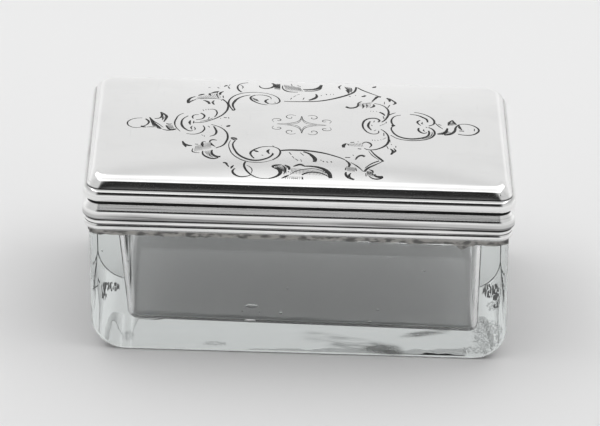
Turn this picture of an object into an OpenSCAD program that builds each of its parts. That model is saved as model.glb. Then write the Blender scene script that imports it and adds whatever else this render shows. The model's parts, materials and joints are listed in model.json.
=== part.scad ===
// Glass casket box: a thick glass body with a drafted well, a silver collar bedded on its
// rim, and a low domed silver lid on a tube hinge at the back. Front faces -Y, up is +Z.
// Insets are counted inwards from the widest line of the mouldings.

/* [Overall] */
// Length over the mouldings
box_len = 100; // [80:1:130]
// Depth over the mouldings
box_dep = 60; // [50:1:80]
// Corner radius over the mouldings, seen from above
corner_r = 4.3; // [4:0.1:6]

/* [Glass] */
// Height of the ground glass rim
glass_h = 36.7; // [28:0.1:60]
// Inset of the glass below the collar
glass_inset = 1.5; // [1.4:0.05:2]
// Radius of the upright glass corners, seen from above
glass_corner_r = 3.2; // [2.5:0.1:6]
// Rounding under the short ends
end_round = 8; // [3:0.5:10]
// Rounding under the long sides
side_round = 0.8; // [0.4:0.1:6]
// Thickness of the glass wall at the rim
wall_t = 5.8; // [4:0.1:8]
// Thickness of the glass floor
floor_t = 4.9; // [4:0.1:12]
// Slope of the inner walls, in degrees
draft = 3; // [1:0.5:5]
// Radius of the well's upright corners at its floor
well_corner_r = 2.4; // [2.2:0.1:5]
// Rounding between the well's walls and floor
well_round = 2; // [0.5:0.1:2.1]

/* [Collar] */
// Thickness of the plaster over the glass rim
bed_t = 0.7; // [0.4:0.1:1.5]
// Thickness of the plaster outside the glass
bed_side = 0.35; // [0.25:0.05:0.4]
// How far the plaster shows below the collar
bed_show = 0.5; // [0:0.1:1]
// Thickness of the ledge over the rim
ledge_t = 0.6; // [0.4:0.05:1]
// How far the ledge stays back from the well's edge
ledge_back = 0.3; // [0.1:0.1:1.5]
// Thickness of the skirt round the glass
skirt_t = 0.35; // [0.25:0.05:0.4]
// Height of the skirt, from the parting line
collar_h = 6.6; // [6:0.1:9]
// Height of the upper moulding, from the parting line
upper_h = 3.5; // [3.4:0.1:3.9]
// Radius of the upper moulding's bead
upper_r = 1.1; // [0.9:0.05:1.2]
// Drop from the parting line to the bead's centre
upper_drop = 1.85; // [1.8:0.05:2.1]
// Angle of the normal of the moulding's upper slope, in degrees
slope_angle = 40; // [35:1:45]
// Radius of the lower edge of the upper moulding
lip_r = 0.3; // [0.2:0.05:0.4]
// Radius of the lower moulding
lower_r = 1; // [0.7:0.05:1.1]
// How far the lower moulding stands back from the widest line
lower_back = 0.3; // [0.1:0.05:0.5]
// Thickness of the plain band over the lower moulding's bead
band_t = 0.25; // [0.15:0.05:0.3]
// Height of the groove between the two mouldings
groove_h = 0.25; // [0.2:0.05:0.4]
// Height of the bezel inside the lid
bezel_h = 2.6; // [1.5:0.1:2.8]
// Thickness of the bezel
bezel_t = 0.4; // [0.3:0.05:0.6]
// Play between the bezel and the lid's wall
bezel_play = 0.4; // [0.3:0.05:0.6]

/* [Lid] */
// Radius of the half-round moulding on the lid
lid_bead_r = 1.4; // [1.2:0.05:1.5]
// Height of that moulding's centre over the parting line
lid_bead_rise = 2.45; // [2.3:0.05:2.8]
// Thickness of the lid's wall
lid_wall_t = 0.4; // [0.3:0.05:0.5]
// Thickness of the lid plate
plate_t = 0.6; // [0.5:0.05:0.8]
// Inset of the plate's foot
foot_inset = 0.95; // [0.8:0.05:1.1]
// Radius of the steep part of the shoulder
shoulder_r = 7.6; // [6:0.1:9]
// Radius of the turn from the shoulder to the top
turn_r = 2; // [1.4:0.1:2.2]
// Rise of the dome over the shoulder
dome_rise = 1.2; // [0.6:0.1:2]
// Rise of the shoulder's edge at the middle of the short ends
end_rise = 0.75; // [0:0.05:1]

/* [Hinge] */
// Length of one knuckle
knuckle_len = 8; // [5:0.5:12]
// Number of knuckles
knuckle_n = 5; // [3:2:7]
// Side play between two knuckles
knuckle_play = 0.15; // [0.1:0.05:0.3]
// Outer radius of a knuckle
knuckle_r = 1.1; // [1:0.05:1.15]
// Radius of the pin
pin_r = 0.45; // [0.35:0.05:0.5]
// Running clearance round the pin
pin_play = 0.05; // [0.02:0.01:0.08]
// Radius of the peened heads of the pin
head_r = 0.75; // [0.7:0.05:0.95]
// Thickness of a peened head
head_t = 0.3; // [0.2:0.05:0.5]
// How far the hinge axis stands behind the mouldings
axis_out = 0.6; // [0.55:0.05:0.7]
// Thickness of the hinge leaves
leaf_t = 0.5; // [0.4:0.05:0.5]
// Clearance of the leaves round the turning knuckles
leaf_play = 0.3; // [0.25:0.05:0.4]
// Depth of the flat filed on the lid moulding for its leaf
filed_flat = 0.35; // [0.2:0.05:0.4]

/* [Hidden] */
$fn = 64;

silver = [0.80, 0.80, 0.79];
silver_dark = [0.66, 0.66, 0.65];
glass_tint = [0.82, 0.88, 0.88, 0.45];
plaster = [0.78, 0.76, 0.71];

ledge_z = glass_h + bed_t;            // underside of the ledge
part_z = ledge_z + ledge_t;           // parting line between collar and lid
skirt_in = glass_inset - bed_side;    // inner face of the skirt
skirt_out = skirt_in - skirt_t;       // outer face of the skirt
head_in = glass_inset + 0.3;          // inner edge of the upper moulding's head
well_inset = glass_inset + wall_t;    // edge of the well at the rim
well_fall = (glass_h - floor_t) * tan(draft);

bead_z = part_z + lid_bead_rise;
plate_z = bead_z + lid_bead_r;        // underside of the plate's foot
steep_lo = 20;                        // angles of the shoulder's normal, in degrees
steep_hi = 33;
turn_hi = 85;

axis_y = box_dep / 2 + axis_out;
hinge_len = knuckle_n * knuckle_len + (knuckle_n - 1) * knuckle_play;
leaf_reach = knuckle_r + leaf_play;   // least distance of a leaf from the axis
arc_steps = 6;                        // straight steps in a rounded part of a section

// ---- shared shapes ----

// Point on a circle in a section
function on_circle(c, r, angle) = c + r * [cos(angle), sin(angle)];

// Rounded rectangle at an inset, with its own corner radius
module outline_2d(inset, r) {
    x = box_len / 2 - inset - r;
    y = box_dep / 2 - inset - r;
    square([2 * x, 2 * (y + r)], center = true);
    square([2 * (x + r), 2 * y], center = true);
    for (sx = [-1, 1], sy = [-1, 1])
        translate([sx * x, sy * y]) circle(r);
}

// Upright band between two insets, from one height to another
module band(inset_out, inset_in, z_lo, z_hi) {
    translate([0, 0, z_lo]) linear_extrude(z_hi - z_lo)
        difference() {
            outline_2d(inset_out, corner_r - inset_out);
            outline_2d(inset_in, corner_r - inset_in);
        }
}

// Moulding all the way round: its section is drawn at x = -inset, y = height
module moulding() {
    x = box_len / 2 - corner_r;
    y = box_dep / 2 - corner_r;
    for (q = [[1, 1, 0], [-1, 1, 90], [-1, -1, 180], [1, -1, 270]])
        translate([q.x * x, q.y * y, 0]) rotate(q.z)
            rotate_extrude(angle = 90) translate([corner_r, 0]) children();
    for (s = [[0, x, y], [90, y, x], [180, x, y], [270, y, x]])
        rotate(s.x) translate([s.y + corner_r, s.z, 0]) rotate([90, 0, 0])
            linear_extrude(2 * s.z) children();
}

// Side view of the glass, rounded at its lower corners
module glass_profile(width, r) {
    x = width / 2;
    translate([-x, r]) square([width, glass_h - r]);
    translate([-x + r, 0]) square([width - 2 * r, r]);
    for (s = [-1, 1]) translate([s * (x - r), r]) circle(r);
}

// The well: a drafted pocket with rounded corners, swept round its floor
module well() {
    x = box_len / 2 - well_inset - well_fall - well_corner_r;
    y = box_dep / 2 - well_inset - well_fall - well_corner_r;
    top = glass_h + 1;
    for (q = [[1, 1, 0], [-1, 1, 90], [-1, -1, 180], [1, -1, 270]])
        translate([q.x * x, q.y * y, 0]) rotate(q.z) rotate_extrude(angle = 90) well_side(top);
    for (s = [[0, x, y], [90, y, x], [180, x, y], [270, y, x]])
        rotate(s.x) translate([s.y, s.z, 0]) rotate([90, 0, 0])
            linear_extrude(2 * s.z) well_side(top);
    translate([-x, -y, floor_t]) cube([2 * x, 2 * y, top - floor_t]);
}

// Section of the well from a corner's axis outwards
module well_side(top) {
    c = [well_corner_r - well_round, floor_t + well_round];
    tangent = on_circle(c, well_round, -draft);
    polygon(concat(
        [[0, top], [0, floor_t]],
        [for (k = [0:arc_steps]) on_circle(c, well_round, -90 + k * (90 - draft) / arc_steps)],
        [[tangent.x + (top - tangent.y) * tan(draft), top]]
    ));
}

// ---- glass and collar ----

module glass_body() {
    len = box_len - 2 * glass_inset;
    dep = box_dep - 2 * glass_inset;
    color(glass_tint) difference() {
        intersection() {
            linear_extrude(glass_h) outline_2d(glass_inset, glass_corner_r);
            translate([0, dep, 0]) rotate([90, 0, 0])
                linear_extrude(2 * dep) glass_profile(len, end_round);
            translate([-len, 0, 0]) rotate([90, 0, 90])
                linear_extrude(2 * len) glass_profile(dep, side_round);
        }
        well();
    }
}

module plaster_bed() {
    color(plaster) difference() {
        translate([0, 0, part_z - collar_h - bed_show])
            linear_extrude(ledge_z - part_z + collar_h + bed_show)
                outline_2d(skirt_in, corner_r - skirt_in);
        linear_extrude(glass_h) outline_2d(glass_inset, glass_corner_r);
        linear_extrude(part_z) outline_2d(well_inset, well_corner_r + well_fall);
    }
}

module collar_skirt() {
    color(silver_dark) band(skirt_out, skirt_in, part_z - collar_h, ledge_z);
}

module collar_ledge() {
    inner = well_inset - ledge_back;
    color(silver_dark) translate([0, 0, ledge_z]) linear_extrude(ledge_t)
        difference() {
            outline_2d(head_in, corner_r - head_in);
            outline_2d(inner, well_corner_r + well_fall);
        }
}

module collar_bezel() {
    outer = lid_bead_r + lid_wall_t + bezel_play;
    color(silver) band(outer, outer + bezel_t, part_z, part_z + bezel_h);
}

// Section of the upper moulding: a slope, a bead and a plain flat over a small lip
module upper_section() {
    bead = [-upper_r, part_z - upper_drop];
    lip = [-lip_r, part_z - upper_h + lip_r];
    tangent = on_circle(bead, upper_r, slope_angle);
    run = (part_z - tangent.y) * tan(slope_angle);
    polygon(concat(
        [[-head_in, part_z], [-head_in, ledge_z], [-skirt_out, ledge_z], [-skirt_out, lip.y - lip_r]],
        [for (k = [0:arc_steps]) on_circle(lip, lip_r, -90 + k * 90 / arc_steps)],
        [for (k = [0:arc_steps]) on_circle(bead, upper_r, k * slope_angle / arc_steps)],
        [[tangent.x - run, part_z]]
    ));
}

module collar_upper_moulding() {
    color(silver) moulding() upper_section();
}

// A bead at the skirt's foot and a plain band over it, up to the groove
module collar_lower_moulding() {
    foot = part_z - collar_h;
    color(silver) moulding() {
        intersection() {
            translate([-lower_r - lower_back, foot + lower_r]) circle(lower_r);
            translate([-skirt_out, foot]) square([skirt_out, 2 * lower_r]);
        }
        translate([-skirt_out, foot + lower_r])
            square([band_t, collar_h - lower_r - upper_h - groove_h]);
    }
}

// ---- hinge ----

// One knuckle: a bored tube with a tongue to its leaf, from z_lo to z_hi at one side
module knuckle(i, tongue_y, z_lo, z_hi) {
    x = -hinge_len / 2 + i * (knuckle_len + knuckle_play);
    translate([x, 0, 0]) difference() {
        union() {
            translate([0, axis_y, part_z]) rotate([0, 90, 0]) cylinder(r = knuckle_r, h = knuckle_len);
            translate([0, tongue_y, z_lo]) cube([knuckle_len, leaf_t, z_hi - z_lo]);
        }
        translate([-1, axis_y, part_z]) rotate([0, 90, 0])
            cylinder(r = pin_r + pin_play, h = knuckle_len + 2);
    }
}

collar_leaf_y = box_dep / 2;
collar_leaf_top = part_z - leaf_reach;
lid_leaf_y = box_dep / 2 - filed_flat;
lid_leaf_low = part_z + leaf_reach + 0.1;
bite = 0.6;                           // how far a tongue reaches into its tube

module collar_hinge_leaf() {
    low = part_z - upper_h + lip_r;
    color(silver_dark) translate([-hinge_len / 2, collar_leaf_y, low])
        cube([hinge_len, leaf_t, collar_leaf_top - low]);
}

module collar_knuckle(i) {
    color(silver) knuckle(2 * i, collar_leaf_y, collar_leaf_top, part_z - bite);
}

module lid_hinge_leaf() {
    top = bead_z + sqrt(pow(lid_bead_r, 2) - pow(lid_bead_r - filed_flat, 2));
    color(silver_dark) translate([-hinge_len / 2, lid_leaf_y, lid_leaf_low])
        cube([hinge_len, leaf_t, top - lid_leaf_low]);
}

module lid_knuckle(i) {
    color(silver) knuckle(2 * i + 1, lid_leaf_y, part_z + bite, lid_leaf_low);
}

module hinge_pin() {
    color(silver_dark) translate([-hinge_len / 2, axis_y, part_z]) rotate([0, 90, 0]) {
        cylinder(r = pin_r, h = hinge_len);
        translate([0, 0, -head_t]) cylinder(r = head_r, h = head_t);
        translate([0, 0, hinge_len]) cylinder(r = head_r, h = head_t);
    }
}

// ---- lid ----

module lid_wall() {
    color(silver_dark) band(lid_bead_r, lid_bead_r + lid_wall_t, part_z, plate_z);
}

module lid_moulding() {
    color(silver) difference() {
        moulding() intersection() {
            translate([-lid_bead_r, bead_z]) circle(lid_bead_r);
            translate([-lid_bead_r, bead_z - lid_bead_r]) square([lid_bead_r, 2 * lid_bead_r]);
        }
        translate([-hinge_len / 2, lid_leaf_y, part_z])
            cube([hinge_len, 1, plate_z - part_z + 1]);
    }
}

// Section of the shoulder: points [inset, height, angle of the normal]
function on_arc(start, r, from, to) = [
    start.x + r * (cos(from) - cos(to)), start.y + r * (sin(to) - sin(from)), to
];
foot = [foot_inset, plate_z, steep_lo];
steep_end = on_arc(foot, shoulder_r, steep_lo, steep_hi);
shoulder = [
    foot,
    for (k = [1:4]) on_arc(foot, shoulder_r, steep_lo, steep_lo + k * (steep_hi - steep_lo) / 4),
    for (k = [1:7]) on_arc(steep_end, turn_r, steep_hi, steep_hi + k * (turn_hi - steep_hi) / 7)
];
edge = shoulder[len(shoulder) - 1];

// One closed loop of points at an inset: four corner arcs with divided sides between them
arc_n = 6;
side_n = [14, 8, 14, 8];
function corner_at(q) = [
    (q == 0 || q == 3 ? 1 : -1) * (box_len / 2 - corner_r),
    (q < 2 ? 1 : -1) * (box_dep / 2 - corner_r)
];
function arc_pt(q, t, r) = corner_at(q) + r * [cos(90 * (q + t)), sin(90 * (q + t))];
function loop(inset) = let (r = corner_r - inset) [
    for (q = [0:3]) each concat(
        [for (k = [0:arc_n]) arc_pt(q, k / arc_n, r)],
        [for (k = [1:side_n[q] - 1]) let (a = arc_pt(q, 1, r), b = arc_pt((q + 1) % 4, 0, r))
            a + (b - a) * k / side_n[q]]
    )
];

// Height of the dome over the front edge of the shoulder: an arch across the box, lower at its ends
half = [box_len / 2 - edge.x, box_dep / 2 - edge.x];
function dome(p) = (dome_rise - (dome_rise - end_rise) * pow(min(abs(p.x) / half.x, 1), 2))
    * (1 - pow(min(abs(p.y) / half.y, 1), 2));
function domed(points, z, s) = [for (p = points) [p.x * s, p.y * s, z + dome(p * s)]];

// A loop of the shoulder, which takes up the arch between the plate's foot and the shoulder's edge
function lifted(points, z, s) = let (share = (s.y - foot.y) / (edge.y - foot.y))
    [for (p = points) [p.x, p.y, z + share * dome(p)]];

module lid_plate() {
    dome_n = 10;
    outer = [for (s = shoulder) lifted(loop(s.x), s.y, s)];
    inner = [
        lifted(loop(foot.x + plate_t / cos(steep_lo)), foot.y, foot),
        for (k = [1:len(shoulder) - 1]) let (s = shoulder[k])
            lifted(loop(s.x + plate_t * cos(s.z)), s.y - plate_t * sin(s.z), s)
    ];
    edge_loop = loop(edge.x);
    rings = concat(
        [for (k = [1:dome_n - 1]) domed(edge_loop, edge.y, k / dome_n)],
        [for (k = [len(outer) - 1:-1:0]) outer[k]],
        inner,
        [for (k = [dome_n - 1:-1:1]) domed(edge_loop, edge.y - plate_t, k / dome_n)]
    );
    n = len(edge_loop);
    m = len(rings);
    points = concat(
        [for (r = rings) each r],
        [[0, 0, edge.y + dome_rise], [0, 0, edge.y + dome_rise - plate_t]]
    );
    faces = concat(
        [for (j = [0:m - 2], i = [0:n - 1]) let (a = j * n + i, b = j * n + (i + 1) % n)
            each [[a, b + n, b], [a, a + n, b + n]]],
        [for (i = [0:n - 1]) [m * n, i, (i + 1) % n]],
        [for (i = [0:n - 1]) [m * n + 1, (m - 1) * n + (i + 1) % n, (m - 1) * n + i]]
    );
    color(silver) polyhedron(points, [for (f = faces) [f.z, f.y, f.x]]);
}

glass_body();
plaster_bed();
collar_skirt();
collar_ledge();
collar_bezel();
collar_upper_moulding();
collar_lower_moulding();
collar_hinge_leaf();
collar_knuckle(0);  // collar_knuckle_1
collar_knuckle(1);  // collar_knuckle_2
collar_knuckle(2);  // collar_knuckle_3
hinge_pin();
lid_plate();
lid_wall();
lid_moulding();
lid_hinge_leaf();
lid_knuckle(0);  // lid_knuckle_1
lid_knuckle(1);  // lid_knuckle_2
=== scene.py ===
"""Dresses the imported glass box: the glass body with its bubbles, the plaster that beds the collar, the
silver collar, the domed and engraved lid, the tube hinge, and a pale studio round them.
The front faces -Y and up is +Z. Sections are pairs of (out, height): out is 0 at the widest line of the
mouldings and negative inwards."""
import json
import math

import bmesh
import bpy
from bpy.props import FloatProperty, FloatVectorProperty, PointerProperty
from mathutils import Matrix, Vector, noise


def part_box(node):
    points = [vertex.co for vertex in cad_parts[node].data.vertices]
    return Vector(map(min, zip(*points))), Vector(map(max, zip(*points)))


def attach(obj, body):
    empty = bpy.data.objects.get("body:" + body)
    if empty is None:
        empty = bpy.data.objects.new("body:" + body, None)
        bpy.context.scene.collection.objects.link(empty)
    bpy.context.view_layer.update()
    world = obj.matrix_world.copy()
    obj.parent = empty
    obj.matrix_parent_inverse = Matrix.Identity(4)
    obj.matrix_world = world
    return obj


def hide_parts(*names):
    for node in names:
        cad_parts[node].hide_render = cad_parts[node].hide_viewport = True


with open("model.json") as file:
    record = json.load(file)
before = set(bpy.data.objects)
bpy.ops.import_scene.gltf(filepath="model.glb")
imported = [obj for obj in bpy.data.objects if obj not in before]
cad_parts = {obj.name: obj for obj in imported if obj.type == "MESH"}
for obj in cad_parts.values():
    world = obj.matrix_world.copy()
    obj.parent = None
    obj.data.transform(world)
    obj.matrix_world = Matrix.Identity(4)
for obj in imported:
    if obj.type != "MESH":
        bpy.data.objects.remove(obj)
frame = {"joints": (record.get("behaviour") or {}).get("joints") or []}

bl_info = {
    "name": "Silver Mounted Glass Box",
    "version": (1, 0, 0),
    "blender": (4, 5, 0),
    "location": "View3D > Sidebar > Glass Box",
    "description": "Builds the glass, silver mounts and engraving of a table box round its frame",
    "category": "Object",
}

MM = 0.001
MICRON = 1e-6
MERGE = 1e-6                    # points closer than this are one point
CORNER_STEPS = 10               # straight steps in a corner, seen from above
ARC_STEPS = 8                   # straight steps in a rounded part of a section
GLASS_STEPS = (16, 8)           # the same of the glass, at its ends and at its other edges
SHOULDER_STEPS = (6, 12)        # the same of the lid, in the steep part and in the turn
BEAD_STEPS = 20                 # the same of the lid's moulding
LID_SIDES = (64, 36)            # divisions along the long and the short sides of the lid
BEAD_SIDES = (40, 1)            # the same of its moulding, which is filed flat behind
PLASTER_SIDES = (240, 140)      # the same of the plaster, for its uneven edge
CUT_STEPS = 4                   # straight steps between two points of an engraved cut
HINGE_STEPS = 40                # steps round a knuckle or the pin
SHARP = math.radians(35)        # edges that turn more than this look sharp
SOFT = 0.08 * MM                # softened edges of the silver strips
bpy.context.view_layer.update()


# ---- sizes and finishes that a user would change ----

def low(node):
    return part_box(node)[0]


def high(node):
    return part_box(node)[1]


def length(label, text, default):
    return FloatProperty(name=label, description=text, default=default, unit="LENGTH", precision=5)


def angle(label, text, degrees):
    return FloatProperty(name=label, description=text, default=math.radians(degrees), unit="ROTATION")


def amount(label, text, default):
    return FloatProperty(name=label, description=text, default=default)


def tone(label, text, default):
    return FloatVectorProperty(name=label, description=text, default=default, subtype="COLOR", size=3)


class BoxSizes(bpy.types.PropertyGroup):
    """Plan of the mouldings, which every other piece follows"""
    half_len: length("Half length", "Half the length over the mouldings", high("collar_upper_moulding").x)
    half_dep: length("Half depth", "Half the depth over the mouldings", high("collar_upper_moulding").y)
    corner_r: length("Corner radius", "Radius of the mouldings' corners, seen from above", 4.3 * MM)
    part_z: length("Parting height", "Height where the lid meets the collar", high("collar_upper_moulding").z)


class GlassSizes(bpy.types.PropertyGroup):
    """The glass body and its well"""
    half_len: length("Half length", "Half the length of the glass", high("glass_body").x)
    half_dep: length("Half depth", "Half the depth of the glass", high("glass_body").y)
    rim_z: length("Rim height", "Height of the ground rim", high("glass_body").z)
    end_round: length("End rounding", "Rounding under the short ends", 8.0 * MM)
    side_round: length("Side rounding", "Rounding of the front face's edges", 0.8 * MM)
    back_round: length("Back rounding", "Rounding of the back face's edges", 0.3 * MM)
    wall: length("Wall", "Thickness of the wall at the rim", 5.8 * MM)
    floor: length("Floor", "Thickness of the floor", 4.9 * MM)
    lean: length("Lean", "How far the hand-made body leans to the right at its foot", 1.2 * MM)
    well_lean: length("Well lean", "How far the well's floor is shifted to the right", 2.0 * MM)
    floor_tilt: length("Floor tilt", "Rise of the well's floor at its left and fall at its right", 0.5 * MM)
    draft: angle("Draft", "Slope of the well's walls", 3.0)
    well_corner_r: length("Well corner", "Radius of the well's upright corners", 2.4 * MM)
    well_round: length("Well rounding", "Rounding between the well's walls and floor", 2.0 * MM)


class CollarSizes(bpy.types.PropertyGroup):
    """The silver collar and the plaster under it"""
    ledge_z: length("Ledge height", "Underside of the ledge over the rim", low("collar_ledge").z)
    skirt_t: length("Skirt", "Thickness of the skirt", 0.35 * MM)
    band_t: length("Band", "Thickness of the plain band over the lower bead", 0.25 * MM)
    groove: length("Groove", "Height of the groove between the mouldings", 0.25 * MM)
    upper_r: length("Upper bead", "Radius of the upper moulding's bead", 1.1 * MM)
    upper_drop: length("Bead drop", "Drop from the parting line to the bead's centre", 1.85 * MM)
    slope: angle("Slope", "Angle of the normal of the upper slope", 40.0)
    ledge_back: length("Ledge", "How far the ledge ends outside the well's edge", 0.3 * MM)
    lip_r: length("Lip", "Radius of the upper moulding's lower edge", 0.3 * MM)
    lower_r: length("Lower bead", "Radius of the lower moulding", 1.0 * MM)
    bezel_t: length("Bezel", "Thickness of the bezel", 0.4 * MM)
    smear_t: length("Smear", "Thickness of the plaster that smears down the glass", 0.12 * MM)
    plaster_drop: length("Plaster drop", "How far the plaster smears down the glass", 0.85 * MM)
    plaster_wander: length("Plaster edge", "How far the plaster's lower edge wanders", 0.25 * MM)


class LidSizes(bpy.types.PropertyGroup):
    """The domed lid"""
    bead_r: length("Bead", "Depth of the half-round moulding", 1.4 * MM)
    bead_half: length("Bead height", "Half the height of the half-round moulding", 1.62 * MM)
    wall_t: length("Wall", "Thickness of the lid's wall", 0.4 * MM)
    plate_t: length("Plate", "Thickness of the plate", 0.6 * MM)
    foot_z: length("Foot height", "Height of the plate's foot", high("lid_moulding").z)
    foot_in: length("Foot inset", "Inset of the plate's foot", 0.95 * MM)
    shoulder_r: length("Shoulder", "Radius of the steep part of the shoulder", 7.6 * MM)
    turn_r: length("Turn", "Radius of the turn from the shoulder to the top", 2.0 * MM)
    steep_lo: angle("Foot angle", "Angle of the normal at the foot", 20.0)
    steep_hi: angle("Turn angle", "Angle of the normal where the turn starts", 33.0)
    turn_hi: angle("Edge angle", "Angle of the normal where the dome starts", 85.0)
    dome_rise: length("Dome", "Rise of the dome over the shoulder", 1.2 * MM)
    end_rise: length("End rise", "Rise of the shoulder's edge at the middle of the short ends", 0.75 * MM)
    corner_soft: length("Soft corners", "Added to the corners' radius at the top of the shoulder", 1.8 * MM)
    cut_width: amount("Cut width", "Width of the engraved cuts, times their drawn width", 1.6)


class HingeSizes(bpy.types.PropertyGroup):
    """The tube hinge at the back"""
    knuckle_r: length("Knuckle", "Outer radius of a knuckle", 1.1 * MM)
    bore_r: length("Bore", "Radius of a knuckle's bore", 0.5 * MM)
    pin_r: length("Pin", "Radius of the pin", 0.45 * MM)
    edge: length("Edges", "Softened edges of the knuckles and leaves", 0.08 * MM)
    bite: length("Bite", "Distance from the axis to the tongues inside the knuckles", 0.6 * MM)
    head_t: length("Pin head", "Thickness of the pin's peened heads", 0.3 * MM)


class FinishTones(bpy.types.PropertyGroup):
    """Colours of the materials"""
    silver: tone("Silver", "Polished silver", (0.93, 0.93, 0.925))
    # Tarnish also serves as painted shade on the lid bead's top
    tarnish: tone("Tarnish", "Silver darkened in its recesses", (0.16, 0.16, 0.158))
    # Oxide also serves as painted shade in the gap under the lid and along the parting line
    oxide: tone("Oxide", "Black oxide in the engraved cuts and the seams", (0.02, 0.02, 0.02))
    glass: tone("Glass", "Glass", (0.985, 0.99, 0.99))
    depth: tone("Glass depth", "Tint of light that goes a long way through the glass", (0.80, 0.82, 0.815))
    plaster: tone("Plaster", "Old plaster", (0.42, 0.41, 0.39))
    grime: tone("Grime", "Dirt in the plaster", (0.13, 0.13, 0.125))


class StudioSettings(bpy.types.PropertyGroup):
    """Floor, light tent and camera"""
    # Painted light and shade on the paper: darker in front of the box, lighter behind it
    floor_near_shaded: tone("Near floor", "Floor in front of the box", (0.79, 0.79, 0.79))
    floor_far_lit: tone("Far floor", "Floor behind the box", (0.83, 0.83, 0.83))
    tent: amount("Tent", "Brightness of the light tent", 1.0)
    elevation: angle("Elevation", "Height of the camera over the horizon", 26.827)
    azimuth: angle("Azimuth", "Turn of the camera round the box", -0.851)
    roll: angle("Roll", "Roll of the camera", 2.09)
    distance: length("Distance", "Camera to its target", 984.6 * MM)
    panel_front: angle("Panel in front", "Height where the overhead panel starts, at the camera's side", 53.1)
    panel_back: angle("Panel behind", "Height where the overhead panel starts, behind the box", 35.0)
    lens: amount("Lens", "Focal length in millimetres", 248.4)


def settings(name):
    return getattr(bpy.context.scene, "glass_box_" + name)


# ---- shader maths ----

class Value:
    """A shader socket that adds Math nodes when it is used in an expression."""

    def __init__(self, shader, socket):
        self.shader = shader
        self.socket = socket

    def math(self, operation, *others):
        """This value and the others, put through a Math node."""
        return self.shader.node("ShaderNodeMath", {"operation": operation}, dict(enumerate((self, *others))))

    def __add__(self, other):
        return self.math("ADD", other)

    def __sub__(self, other):
        return self.math("SUBTRACT", other)

    def __mul__(self, other):
        return self.math("MULTIPLY", other)

    def __rsub__(self, other):
        return self.shader.node("ShaderNodeMath", {"operation": "SUBTRACT"}, {0: other, 1: self})

    __radd__ = __add__
    __rmul__ = __mul__

    def smooth(self, start, end):
        """0 below start and 1 above end, with a soft step between; start may be above end."""
        return self.shader.node(
            "ShaderNodeMapRange", {"interpolation_type": "SMOOTHSTEP"},
            {"Value": self, "From Min": start, "From Max": end})

    def near(self, centre, half):
        """1 at a value and 0 further than half from it."""
        return (self - centre).math("ABSOLUTE").smooth(half, 0)


class Shader:
    """Nodes of one material or world."""

    def __init__(self, tree):
        self.tree = tree
        tree.nodes.clear()

    def node(self, kind, choices=None, sockets=None, out=0):
        """Adds a node: first its settings, then the values or links of its sockets."""
        made = self.tree.nodes.new(kind)
        for key, value in (choices or {}).items():
            setattr(made, key, value)
        for key, value in (sockets or {}).items():
            socket = made.inputs[key]
            if isinstance(value, Value):
                self.tree.links.new(value.socket, socket)
            else:
                socket.default_value = (*value, 1) if socket.type == "RGBA" else value
        return Value(self, made.outputs[out]) if made.outputs else None

    def place(self, scale=(1, 1, 1), turn=(0, 0, 0)):
        """Object coordinates in millimetres, stretched and turned."""
        coordinates = self.node("ShaderNodeTexCoord", out="Object")
        per_mm = [s / MM for s in scale]
        return self.node("ShaderNodeMapping", None,
                         {"Vector": coordinates, "Rotation": turn, "Scale": per_mm})

    def split(self, vector):
        """The X, Y and Z of a vector."""
        first = self.node("ShaderNodeSeparateXYZ", None, {0: vector})
        return [Value(self, output) for output in first.socket.node.outputs]

    def axes(self):
        """X, Y and Z of a point, in millimetres."""
        return self.split(self.place())

    def noise(self, size, stretch=(1, 1, 1), detail=3.0, turn=(0, 0, 0)):
        """Noise whose features are about size millimetres across, drawn out where stretch is small."""
        scale = [s / size for s in stretch]
        return self.node("ShaderNodeTexNoise", None, {
            "Vector": self.place(scale, turn), "Scale": 1.0, "Detail": detail})

    def mix(self, factor, first, second):
        """The first colour where the factor is 0 and the second where it is 1."""
        return self.node("ShaderNodeMix", {"data_type": "RGBA"}, {0: factor, 6: first, 7: second}, out=2)

    def bump(self, height, strength, distance):
        """A normal bent by a height from 0 to 1, which stands for a distance in metres."""
        return self.node("ShaderNodeBump", None, {
            "Height": height, "Strength": strength, "Distance": distance}, out="Normal")

    def surface(self, volume=None, **sockets):
        """Ends a material in a principled surface, and in a volume where one is given."""
        named = {key.replace("_", " "): value for key, value in sockets.items()}
        ends = {"Surface": self.node("ShaderNodeBsdfPrincipled", None, named)}
        if volume is not None:
            ends["Volume"] = volume
        self.node("ShaderNodeOutputMaterial", None, ends)


def material(name):
    """The named material, made by its function in FINISHES when it is first asked for."""
    found = bpy.data.materials.get(name)
    if found is None:
        found = bpy.data.materials.new(name)
        found.use_nodes = True
        FINISHES[name](Shader(found.node_tree), settings("finish"))
    return found


def polished_silver(shader, tones):
    """The lid's plate: hand polished, with hair scratches, soft dents, pits and a tarnished foot."""
    x, _, z = shader.axes()
    foot = settings("lid").foot_z / MM
    hair = shader.noise(0.5, (0.05, 1, 1), 2, turn=(0, 0, math.radians(12)))
    cross = shader.noise(0.6, (1, 0.06, 1), 2, turn=(0, 0, math.radians(-20)))
    cloud = shader.noise(14, detail=3)
    streak = shader.noise(0.6, (0.06, 0.06, 1), 4)
    wear = hair.smooth(0.62, 0.75) * 0.5 + cross.smooth(0.62, 0.76) * 0.5
    dents = shader.noise(9, detail=1)
    near_foot = z.smooth(foot + 2.2, foot + 1.0)
    seam = z.smooth(foot + 0.32, foot + 0.05) * 0.9
    pits = shader.noise(0.42, detail=1).smooth(0.70, 0.76) * near_foot * x.smooth(14, 38)
    grey = cloud.smooth(0.45, 0.75) * 0.05 + wear * 0.08 + near_foot * streak.smooth(0.5, 0.7) * 0.3
    black = (seam + pits).math("MINIMUM", 1)
    shader.surface(
        Base_Color=shader.mix(black, shader.mix(grey, tones.silver, tones.tarnish), tones.oxide),
        Metallic=1.0,
        Roughness=wear * 0.10 + cloud * 0.04 + near_foot * streak * 0.16 + 0.07,
        Normal=shader.bump(dents, 0.25, 0.05 * MM))


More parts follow.
